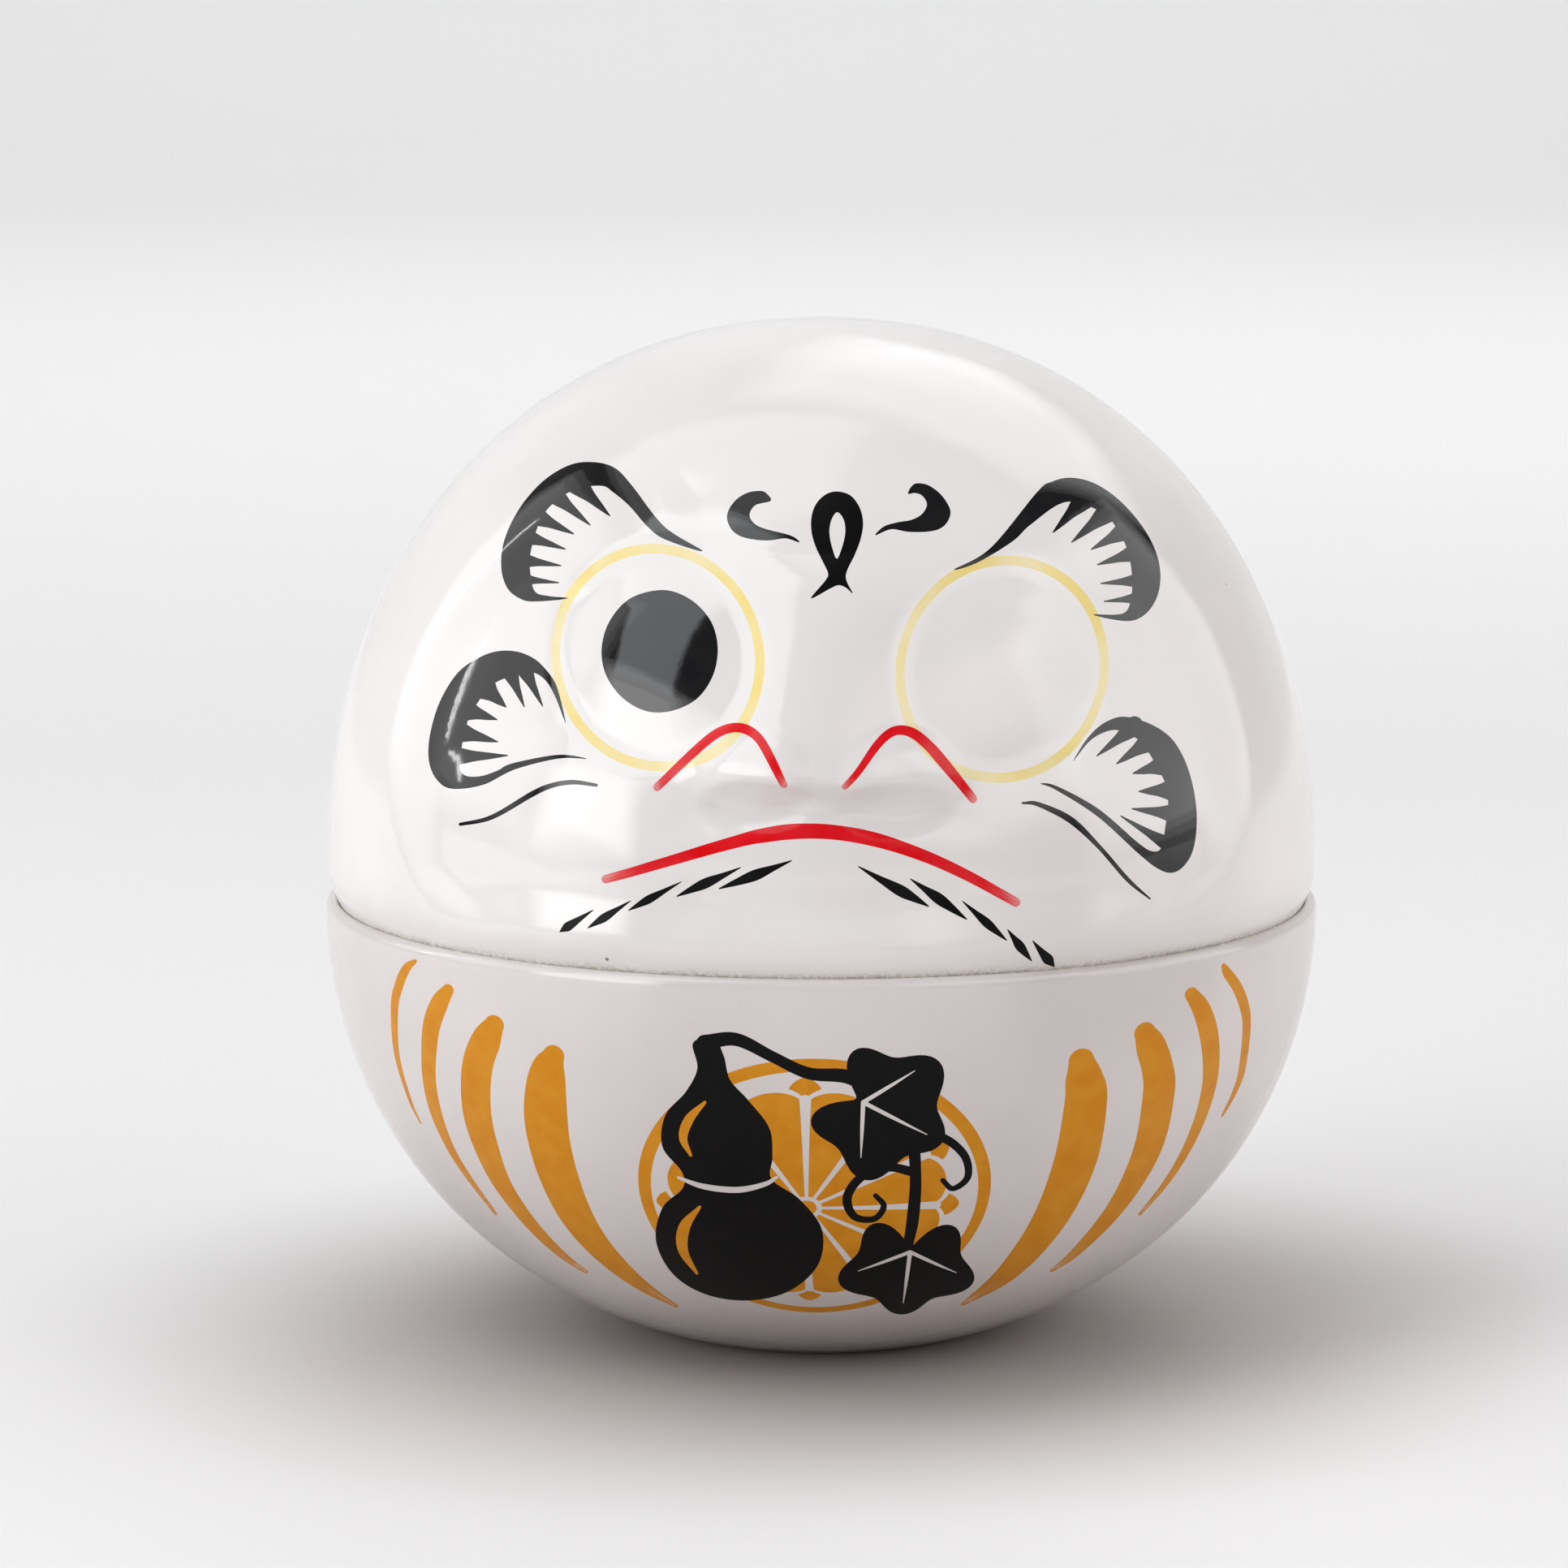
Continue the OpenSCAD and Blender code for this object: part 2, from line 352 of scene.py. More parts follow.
def nose_ridge(x, z):
    """A ridge that widens and rises from between the eyes, and ends above the mouth."""
    drop = np.clip((83 - z) / 20.5, 0, 1)
    width = 5.2 + 4.8 * drop
    ridge = np.exp(-(np.abs(x - NOSE_X) / width) ** 2.2)
    base = step_up(59.2, 63.4, z - 0.006 * (x - NOSE_X) ** 2)
    return NOSE_RISE * drop ** 0.82 * ridge * base


def face_relief(x, z):
    """How deep the face lies below the plain head, measured along the surface's normal."""
    shallow = 1 - 0.62 * step_up(70, 89, z) - 0.3 * step_up(8, 34, x) * step_up(89, 70, z)
    recess = FACE_DEPTH * step_up(-2.2, 3.4, inside_distance(x, z, HOOD)) * step_up(44.6, 52, z)
    swells = sum(rise * bump(x, z, cx, cz, rx, rz) for cx, cz, rx, rz, rise in SWELLS)
    return recess * shallow + eye_relief(x, z) - nose_ridge(x, z) - swells


def head_relief(rim_s):
    """The relief as a shift along Y, so that a mark keeps its place in the front view."""
    def shift(x, z, front, s):
        out = np.zeros(x.shape)
        on = (front > FACE_TURN) & (s > rim_s) & (z < FACE_TOP)
        tilt = np.clip(front[on] * wall_flatness(z[on]), STEEPEST, 1)
        out[on] = face_relief(x[on], z[on]) / tilt
        return out
    return shift


def wall_flatness(z):
    """Cosine of the head's slope at height z: 1 where the wall is upright."""
    v = np.clip((z - HEAD_WIDE_Z) / (CROWN_Z - HEAD_WIDE_Z), 0, 0.995)
    u = (1 - v ** HEAD_N) ** (1 / HEAD_N)
    rise = v ** (HEAD_N - 1) / (CROWN_Z - HEAD_WIDE_Z)
    out = u ** (HEAD_N - 1) / HEAD_R
    return out / np.hypot(rise, out)


# ---------------------------------------------------------------- painted marks

FINE_STEP = 0.18             # spacing of outline points on small marks
CIRCLE_STEP = 0.3
TOOTH_TIP = 0.12


class Mark:
    """One painted shape: its outline in front view (x, z), its paint, and its spine where it is a stroke."""

    def __init__(self, paint, outline, spine=None, widths=None):
        self.paint = paint
        self.outline = np.array(outline, float)[:, :2]
        self.spine = spine
        self.widths = widths

    def carry(self, change):
        """Moves the mark's points by a function of points."""
        self.outline = change(self.outline)
        if self.spine is not None:
            self.spine = change(self.spine)

    def near(self, points, margin=0.0):
        """Numbers of the points in the box round the outline."""
        low, high = self.outline.min(0) - margin, self.outline.max(0) + margin
        return np.where(((points >= low) & (points <= high)).all(axis=1))[0]


def stroke(paint, points, step=0.25):
    """A brush stroke with round ends: points (x, z, width) along its middle."""
    mid = spline(points, step)
    half = np.maximum(mid[:, 2] / 2, 0.02)
    mid = mid[:, :2]
    along = np.gradient(mid, axis=0)
    along /= np.linalg.norm(along, axis=1)[:, None]
    side = np.column_stack([-along[:, 1], along[:, 0]])
    left = mid + side * half[:, None]
    right = mid - side * half[:, None]
    caps = []
    for end, sign in ((-1, 1), (0, -1)):
        count = max(3, int(half[end] / 0.08))
        a = np.radians(np.linspace(90, -90, count + 2)[1:-1])
        caps.append(mid[end] + half[end] * (np.outer(np.cos(a), along[end] * sign)
                                            + np.outer(np.sin(a), side[end] * sign)))
    outline = np.concatenate([left, caps[0], right[::-1], caps[1]])
    return Mark(paint, outline, mid, half)


def blob(paint, points, step=0.3):
    """A closed shape through points."""
    return Mark(paint, spline(points, step, closed=True))


def tooth(root, tip, width):
    """A claw-like hair that tapers from its root to its tip."""
    root, tip = np.array(root, float), np.array(tip, float)
    taper = [(t, share * width) for t, share in ((-0.25, 1.5), (0, 1.15), (0.3, 0.72), (0.65, 0.42))]
    rows = [(*(root + (tip - root) * t), w) for t, w in taper + [(1, TOOTH_TIP)]]
    return stroke("black", rows, step=FINE_STEP)


def fans(outlines, teeth):
    """Black shapes with hairs on their inner side."""
    return [blob("black", points) for points in outlines] + [tooth(*row) for row in teeth]


def circle(paint, centre, radius):
    count = int(2 * math.pi * radius / CIRCLE_STEP)
    a = np.linspace(0, 2 * math.pi, count, endpoint=False)
    return Mark(paint, np.column_stack([centre[0] + radius * np.cos(a), centre[1] + radius * np.sin(a)]))


def fleck(paint, start, end, width, belly):
    """A brush touch between two sharp ends, widest at the share belly of its length."""
    start, end = np.array(start, float), np.array(end, float)
    swell = ((0, 0.1), (belly / 2, 0.55), (belly, 1.0), ((1 + belly) / 2, 0.66), (1, 0.12))
    rows = [(*(start + (end - start) * t), width * share) for t, share in swell]
    return stroke(paint, rows, step=FINE_STEP)


def brow_marks():
    left = [(-11.3, 83.05), (-15, 85.1), (-18.2, 88.5), (-19.9, 89.9), (-22, 90.25), (-24.4, 89.8),
            (-27, 88.2), (-29.3, 85.6), (-30.7, 82.7), (-30.95, 80.2), (-30.3, 78.4), (-29, 77.6),
            (-27.6, 77.5), (-24.2, 78.1), (-26.1, 78.15), (-27.5, 78.4), (-28, 80), (-28, 82),
            (-26.8, 85.4), (-24.2, 87.6), (-21.3, 88.3), (-20, 87.8), (-18.4, 86.7), (-16.6, 85),
            (-14.9, 83.95)]
    right = [(12.6, 81.4), (16, 83.1), (20.7, 87.8), (22.2, 88.6), (24, 88.8), (26.2, 88.2),
             (28.4, 86.8), (30.4, 84.8), (31.9, 82.6), (32.7, 80.4), (32.7, 78.4), (32, 76.8),
             (30.7, 75.8), (29, 75.7), (26, 76.55), (29, 76.4), (29.8, 77.8), (29.9, 79.8), (29.5, 82),
             (28.5, 84), (27, 85.6), (23.5, 86.75), (20, 85), (18.3, 83.7), (14.8, 81.9)]
    left_teeth = [((-23.0, 87.9), (-20.3, 85.75), 1.5), ((-25.3, 86.9), (-22.2, 84.8), 1.35),
                  ((-27.0, 85.0), (-23.8, 83.9), 1.3), ((-28.0, 83.2), (-24.6, 82.5), 1.15),
                  ((-28.2, 81.1), (-25.0, 81.0), 1.0), ((-28.2, 79.4), (-25.2, 79.45), 0.8)]
    right_teeth = [((24.7, 86.4), (22.2, 84.2), 1.45), ((27.0, 85.2), (24.0, 83.2), 1.5),
                   ((28.6, 83.5), (25.9, 82.4), 1.3), ((29.6, 81.6), (26.5, 81.0), 1.2),
                   ((29.9, 79.2), (26.8, 79.3), 0.95), ((29.9, 77.6), (27.1, 77.65), 0.8)]
    return fans([left, right], left_teeth + right_teeth)


def forehead_marks():
    left_curl = [(-4.85, 87.6), (-5.2, 88.2), (-5.8, 88.45), (-7.1, 88.25), (-8.3, 87.5), (-9, 86.3),
                 (-8.7, 85.2), (-7.8, 84.5), (-6.4, 84.2), (-4.9, 84.15), (-3.4, 84.35), (-2.1, 84),
                 (-2.9, 84.6), (-5.5, 85.2), (-6.5, 85.7), (-6.85, 86.4), (-6.3, 87.2)]
    right_curl = [(8.25, 88.15), (8.6, 88.8), (9.2, 89.05), (10.3, 88.8), (11.5, 87.9), (12.3, 86.6),
                  (12, 85.6), (11.2, 85), (9.9, 84.8), (8.2, 84.85), (6.6, 85.1), (5.1, 84.6),
                  (5.9, 85.35), (7.2, 85.7), (8.6, 85.9), (9.6, 86.4), (10.05, 87.2), (9.6, 87.95),
                  (8.9, 88.2)]
    loop = [(1.5, 88.45), (2.75, 88.1), (3.6, 87.1), (3.95, 85.8), (3.75, 84.4), (3.2, 83), (2.3, 81.1),
            (2.95, 79.6), (2.35, 80.05), (1.65, 80.3), (0.9, 80.05), (-1, 79.15), (0.35, 80.7),
            (0.62, 81.3), (0.2, 82.2), (-0.5, 83.5), (-0.95, 84.9), (-0.95, 86.3), (-0.5, 87.4),
            (0.4, 88.2)]
    hole = [(1.5, 86.65), (2.1, 86), (2.25, 84.9), (1.95, 83.6), (1.45, 82.6), (1, 83.6), (0.75, 84.9),
            (0.95, 86)]
    return [blob("black", left_curl, 0.2), blob("black", right_curl, 0.2), blob("ink", loop, 0.2),
            blob("glaze", hole, 0.2)]


def cheek_marks():
    left = [(-24.3, 66.8), (-25.2, 70), (-26.2, 71.4), (-27.5, 72.4), (-29.3, 72.85), (-31.3, 72.6),
            (-33.2, 71.7), (-35, 70.3), (-36.4, 68.3), (-37.4, 66), (-38, 63.3), (-37.9, 61.3),
            (-37.1, 59.95), (-35.6, 59.45), (-32.4, 60.35), (-29.2, 62.2), (-25, 63.6), (-22.2, 63.8),
            (-25, 63.95), (-29.4, 62.75), (-31, 61.85), (-32.7, 61.1), (-34.3, 60.95), (-34.8, 62),
            (-34.1, 65.7), (-33, 67.8), (-31.4, 69.7), (-28.8, 70.9), (-27.4, 71.1), (-26.2, 70.4),
            (-25.3, 69)]
    right = [(23.9, 63.5), (24.9, 65), (26.1, 66.2), (27.4, 66.9), (28.8, 67.1), (30.5, 66.6),
             (32.2, 65.7), (33.7, 64.4), (34.9, 62.4), (35.7, 60), (36.1, 57.4), (36, 55), (35.5, 53.3),
             (34.5, 52.25), (33.4, 52.05), (32.1, 52.7), (30.4, 54.2), (26.2, 58.3), (22.2, 61.05),
             (20.7, 61.7), (22.3, 61.4), (26.3, 59), (30.2, 55.4), (31.6, 54.4), (32.5, 54.6),
             (32.9, 56.5), (33.2, 58.7), (32.9, 60.6), (31, 64), (29.6, 65.3), (28.1, 65.95),
             (26.6, 65.75), (25.3, 65)]
    left_teeth = [((-34.8, 62.6), (-30.0, 63.35), 1.35), ((-34.4, 64.8), (-31.0, 64.45), 1.55),
                  ((-33.8, 66.9), (-31.1, 66.45), 1.6), ((-32.0, 69.0), (-30.2, 67.7), 1.9),
                  ((-29.6, 70.4), (-28.4, 67.95), 1.2), ((-28.1, 70.8), (-26.6, 68.2), 1.2)]
    right_teeth = [((32.5, 55.3), (28.5, 58.1), 1.0), ((33.1, 57.8), (29.6, 58.65), 1.25),
                   ((33.2, 59.9), (30.3, 60.15), 1.6), ((32.3, 62.2), (29.7, 61.85), 1.5),
                   ((30.8, 64.3), (28.1, 62.9), 1.5), ((29.1, 65.6), (26.2, 63.8), 1.3)]
    left_line = [(-34.7, 56.3, 0.3), (-31.5, 57.5, 0.42), (-27.5, 60.15, 0.5), (-25.5, 61.15, 0.45),
                 (-23.5, 61.6, 0.42), (-21.3, 61.5, 0.3)]
    right_line = [(19, 60.05, 0.2), (20.5, 59.85, 0.42), (23.6, 58.2, 0.62), (26.4, 55.4, 0.42),
                  (29.2, 52, 0.4), (31.4, 49.9, 0.15)]
    lines = [stroke("black", left_line), stroke("black", right_line)]
    return fans([left, right], left_teeth + right_teeth) + lines


def eye_marks():
    marks = []
    for centre in EYES.values():
        marks += [circle("yellow", centre, EYE_R + 0.45), circle("glaze", centre, EYE_R - 0.45)]
    pupil = [(-15, 79.45), (-12.4, 78.7), (-10.5, 76.9), (-9.8, 74.6), (-10.2, 72.1), (-11.7, 69.9),
             (-14.1, 68.65), (-16.6, 68.5), (-18.9, 69.6), (-20.5, 71.6), (-20.9, 74), (-20.1, 76.5),
             (-18.1, 78.6)]
    return marks + [blob("black", pupil)]


def red_marks():
    left = [(-15.5, 61.6, 0.75), (-12, 65, 0.8), (-10, 66.7, 0.8), (-8.4, 67.4, 0.8), (-7, 67.35, 0.85),
            (-5.8, 66.6, 0.85), (-4.7, 64.9, 0.85), (-3.5, 62.6, 0.7)]
    right = [(2.2, 62.4, 0.6), (3.5, 63.9, 0.65), (5, 65.9, 0.75), (6.2, 67, 0.8), (7.3, 67.35, 0.8),
             (8.6, 67, 0.85), (10, 65.9, 0.9), (11.5, 64.2, 0.95), (14.3, 60.6, 0.8)]
    mouth = [(-20.4, 52.8, 0.8), (-9, 56.6, 1.1), (-5, 57.6, 1.3), (-1.5, 58, 1.4), (2, 57.8, 1.35),
             (6, 56.9, 1.25), (10, 55.4, 1.1), (14, 53.4, 1), (18.4, 50.8, 0.85)]
    return [stroke("red", left), stroke("red", right), stroke("red", mouth)]


def whisker_marks():
    touches = [((-2.8, 55.25), (-9.6, 52.4), 0.8, 0.5), ((-7.6, 54.5), (-13.6, 51.5), 0.75, 0.55),
               ((-13.2, 52.9), (-18.2, 50.0), 0.6, 0.6), ((-18.0, 50.9), (-22.1, 48.1), 0.6, 0.6),
               ((-21.6, 49.8), (-24.8, 47.5), 0.65, 0.75),
               ((3.5, 54.7), (10.1, 50.7), 0.85, 0.6), ((8.4, 53.4), (13.7, 49.4), 0.8, 0.5),
               ((13.3, 51.1), (17.5, 47.3), 0.65, 0.55), ((17.6, 48.3), (19.9, 45.1), 0.7, 0.5),
               ((20.0, 47.1), (22.1, 44.3), 0.8, 0.7)]
    return [fleck("ink", start, end, width * 1.3, belly) for start, end, width, belly in touches]


def head_marks():
    return eye_marks() + brow_marks() + forehead_marks() + cheek_marks() + red_marks() + whisker_marks()


# ---------------------------------------------------------------- the pot's painting

MEDALLION_X = -0.65
MEDALLION_LOW, MEDALLION_HIGH = 8.2, 36.1
PETALS = 12
PETAL_POINTS, PETAL_NOTCH = 22, 2.0
RING_R = (17.0, 15.75)       # outside and inside radius
FLOWER_R = (13.95, 13.4)     # with and without its white border
BUTTON_R = (1.45, 0.95)
ROSETTE_AT = (-0.7, 0.4)     # the flower sits a little off the ring's centre
RIB = [(1.2, 0.32), (5, 0.5), (9, 0.72), (12.4, 1.0)]                           # reach, width
BACK_PETAL = [(12.0, 1.0), (13.6, 1.35), (14.7, 0), (13.6, -1.35), (12.0, -1.0)]  # reach, sideways


def gold_marks():
    """Four strokes on each side that sweep down and in, thinner and shorter towards the outside."""
    left = [
        [(-25.5, 35.3, 2.1), (-26, 34, 3.2), (-26.3, 32, 3.9), (-26.4, 29, 4.3), (-26.1, 26, 4.2),
         (-25.3, 22.5, 4), (-24, 18.8, 3.6), (-22.2, 15.5, 3), (-19.8, 12.5, 2.3), (-17.2, 10, 1.5),
         (-14.2, 7.8, 0.5)],
        [(-31.3, 37.6, 1.9), (-32.1, 36, 2.8), (-33, 33.5, 3), (-33.35, 30.5, 3), (-33.2, 27.3, 2.9),
         (-32.4, 24, 2.6), (-31.2, 20.7, 2.1), (-29.4, 17.6, 1.7), (-27.3, 14.8, 1.4), (-25, 12.4, 1),
         (-23, 10.9, 0.5)],
        [(-35.9, 40.3, 1.1), (-36.8, 38.8, 1.7), (-37.7, 36.3, 1.75), (-38.1, 33, 1.55),
         (-38.1, 30, 1.4), (-37.6, 27, 1.3), (-36.6, 24, 1), (-35.2, 21.2, 0.8), (-31.9, 16.2, 0.4)],
        [(-39.3, 42.4, 0.4), (-40.2, 41.5, 0.8), (-41, 39.7, 0.9), (-41.6, 37, 0.8), (-41.5, 32, 0.6),
         (-40.3, 27.3, 0.4), (-39.3, 25, 0.2)]]
    right = [
        [(24.8, 34.9, 2.5), (25.1, 33, 3.7), (25.3, 30.5, 4.2), (24.4, 24.3, 4.3), (22, 17.8, 3.6),
         (18.2, 12, 2.4), (13.9, 8.2, 0.5)],
        [(31.0, 36.9, 2.1), (31.6, 35.5, 2.9), (32.35, 33, 3.1), (32.55, 30.3, 3.25), (31.6, 24.3, 3),
         (28.8, 18.3, 2.1), (24.9, 13.3, 1.2), (22.6, 11.3, 0.5)],
        [(35.6, 40, 1.3), (36.6, 38.4, 1.75), (37.4, 36, 1.9), (37.8, 33.3, 1.8), (37.8, 30.6, 1.6),
         (37.3, 27.8, 1.4), (36.4, 25, 1.2), (35.2, 22.3, 1), (33.6, 19.6, 0.8), (31.2, 16.5, 0.4)],
        [(38.9, 42.1, 0.5), (39.3, 41.3, 0.9), (40.3, 39.7, 1), (41.1, 37.7, 1), (41.5, 35.3, 0.9),
         (41.2, 30.7, 0.8), (40.5, 28.3, 0.6), (39.3, 26, 0.3)]]
    return [stroke("gold", points) for points in left + right]


def rosette_outline(radius):
    """A round flower with rounded petal ends, about (0, 0)."""
    a = np.linspace(0, 2 * math.pi, PETALS * PETAL_POINTS, endpoint=False)
    t = (a * PETALS / math.pi) % 2 - 1
    r = radius - PETAL_NOTCH * (1 - np.sqrt(np.clip(1 - t ** 2, 0, 1)))
    return np.column_stack([r * np.cos(a), r * np.sin(a)])


def rosette_marks():
    """Marks laid out flat about (0, 0), before they go on the pot's curved side."""
    marks = [circle("gold", (0, 0), RING_R[0]), circle("glaze", (0, 0), RING_R[1])]
    behind, ribs = [], []
    for k in range(PETALS):
        a = 2 * math.pi * k / PETALS
        way = np.array([math.cos(a), math.sin(a)])
        across = np.array([-way[1], way[0]])
        ribs.append(stroke("glaze", [(*(way * r), w) for r, w in RIB]))
        petal = [way * r + across * off for r, off in BACK_PETAL]
        behind.append(blob("gold", petal, 0.25))
    flower = behind
    for paint, radius in zip(("glaze", "gold"), FLOWER_R):
        flower.append(Mark(paint, rosette_outline(radius)))
    flower += ribs
    for paint, radius in zip(("glaze", "gold"), BUTTON_R):
        flower.append(circle(paint, (0, 0), radius))
    for mark in flower:
        mark.carry(lambda points: points + ROSETTE_AT)
    return marks + flower


def bent_round_pot(marks, wall, s_low, s_high):
    """Puts flat marks on the pot, where one millimetre along the surface is one millimetre of the drawing."""
    s_mid = (wall.outer_s(MEDALLION_LOW, s_low, s_high) + wall.outer_s(MEDALLION_HIGH, s_low, s_high)) / 2
    r_mid = wall.rz(s_mid)[0]

    def put(points):
        r, z = wall.rz(s_mid + points[:, 1])
        return np.column_stack([r * np.sin((points[:, 0] + MEDALLION_X) / r_mid), z])

    for mark in marks:
        mark.carry(put)
    return marks


def vine_leaf(centre, size, stem_angle):
    """A rounded five-lobed leaf with a notch where its stem joins, and its white veins."""
    a = np.linspace(0, 2 * math.pi, 90, endpoint=False)
    notch = np.exp(-((a - math.pi) / 0.34) ** 2)
    r = size * (0.88 - 0.12 * np.cos(5 * a + math.pi) - 0.05 * np.cos(2 * a)) * (1 - 0.42 * notch)
    turn = math.radians(stem_angle) + math.pi
    centre = np.array(centre, float)
    outline = centre + np.column_stack([r * np.cos(a + turn), r * np.sin(a + turn)])
    foot = centre - size * 0.3 * np.array([math.cos(turn), math.sin(turn)])
    marks = [Mark("ink", outline)]
    for angle, reach in ((0, 1.0), (62, 0.82), (-62, 0.82)):
        way = np.array([math.cos(turn + math.radians(angle)), math.sin(turn + math.radians(angle))])
        end = foot + way * size * reach
        middle = foot + way * size * reach * 0.5
        marks.append(stroke("glaze", [(*foot, 0.42), (*middle, 0.34), (*end, 0.08)]))
    return marks


def gourd_marks():
    """A gourd that hangs from its vine, in bold black brushwork over the rosette."""
    gourd = [(-7.2, 9.4), (-3.2, 10.8), (-0.3, 14.2), (0.1, 18.4), (-2, 21.8), (-4.7, 24), (-4.6, 26.4),
             (-4.9, 29.4), (-6.9, 32.2), (-8.6, 34.2), (-9.2, 36.6), (-10.2, 38.3), (-12.1, 37.7),
             (-11.7, 35.2), (-12.8, 32.8), (-14.8, 30.2), (-15.1, 26.9), (-13.3, 24.4), (-13.2, 22.6),
             (-15.2, 20.2), (-15.9, 16.2), (-14.3, 12.2), (-11.2, 9.9)]
    vine = [(-11, 37.8, 1.5), (-8, 38.2, 1.3), (-4.6, 36.6, 1.1), (-1.2, 35, 1.2), (2.6, 34.6, 1.4),
            (5.4, 32.6, 1.3), (8.4, 28.4, 1.2), (9, 24.2, 1.1), (8.8, 19.6, 1.2), (8.4, 16.6, 1)]
    tendril = [(8.9, 24.6, 1), (6.4, 25.2, 0.9), (3.8, 24.2, 0.9), (2.5, 22, 0.9), (3.2, 19.9, 0.8),
               (5.1, 19.6, 0.7), (6, 21, 0.6), (5.2, 22.2, 0.5)]
    tip = [(8.2, 28.6, 1), (11.4, 28.2, 0.9), (13.6, 26.2, 0.8), (14, 23.8, 0.7), (12.6, 22.6, 0.6),
           (11.6, 23.6, 0.5)]
    shines = [[(-12.0, 12.6, 0.3), (-13.3, 15.4, 1.0), (-13.1, 18.2, 1.1), (-11.6, 20.6, 0.3)],
              [(-12.4, 26.2, 0.3), (-13.1, 28.0, 0.8), (-12.5, 30.0, 0.9), (-11.0, 31.8, 0.3)]]
    cord = [(-13.6, 23.7, 0.3), (-11.2, 22.9, 0.6), (-8, 22.7, 0.65), (-5.4, 23.4, 0.5),
            (-4.2, 24.2, 0.3)]
    marks = [blob("ink", gourd), stroke("ink", vine), stroke("ink", tendril), stroke("ink", tip)]
    marks += vine_leaf((5.8, 31.0), 7.0, 150)
    marks += vine_leaf((8.4, 13.6), 6.6, 85)
    marks += [stroke("gold", points) for points in shines]
    for mark in marks[-len(shines):]:
        mark.spine = None
    return marks + [stroke("glaze", cord)]


# ---------------------------------------------------------------- painted walls

PAINTS = ["glaze", "black", "red", "gold", "yellow", "bare", "ink"]
FILL = 0.55                  # spacing of the vertices between marks
MERGE = 1e-5                 # points this close become one vertex
RING_GAP = 0.12              # least gap between a ring of vertices and the patch's edge
MARK_GAP = 0.21              # least gap between a filling vertex and a mark
EDGE_GAP = 0.25              # least gap between a filling vertex and the patch's sides
INK_MARGIN = 0.1             # a stroke's attributes reach a little past its outline
INK_REACH, INK_SLACK = 1.35, 0.08


def winding_inside(x, y, outline):
    """True where a point is inside an outline that may cross itself."""
    turns = np.zeros(x.shape, int)
    for (ax, ay), (bx, by) in zip(outline, np.roll(outline, -1, axis=0)):
        if ay == by:
            continue
        side = (bx - ax) * (y - ay) - (x - ax) * (by - ay)
        turns += ((ay <= y) & (by > y) & (side > 0)).astype(int)
        turns -= ((ay > y) & (by <= y) & (side < 0)).astype(int)
    return turns != 0


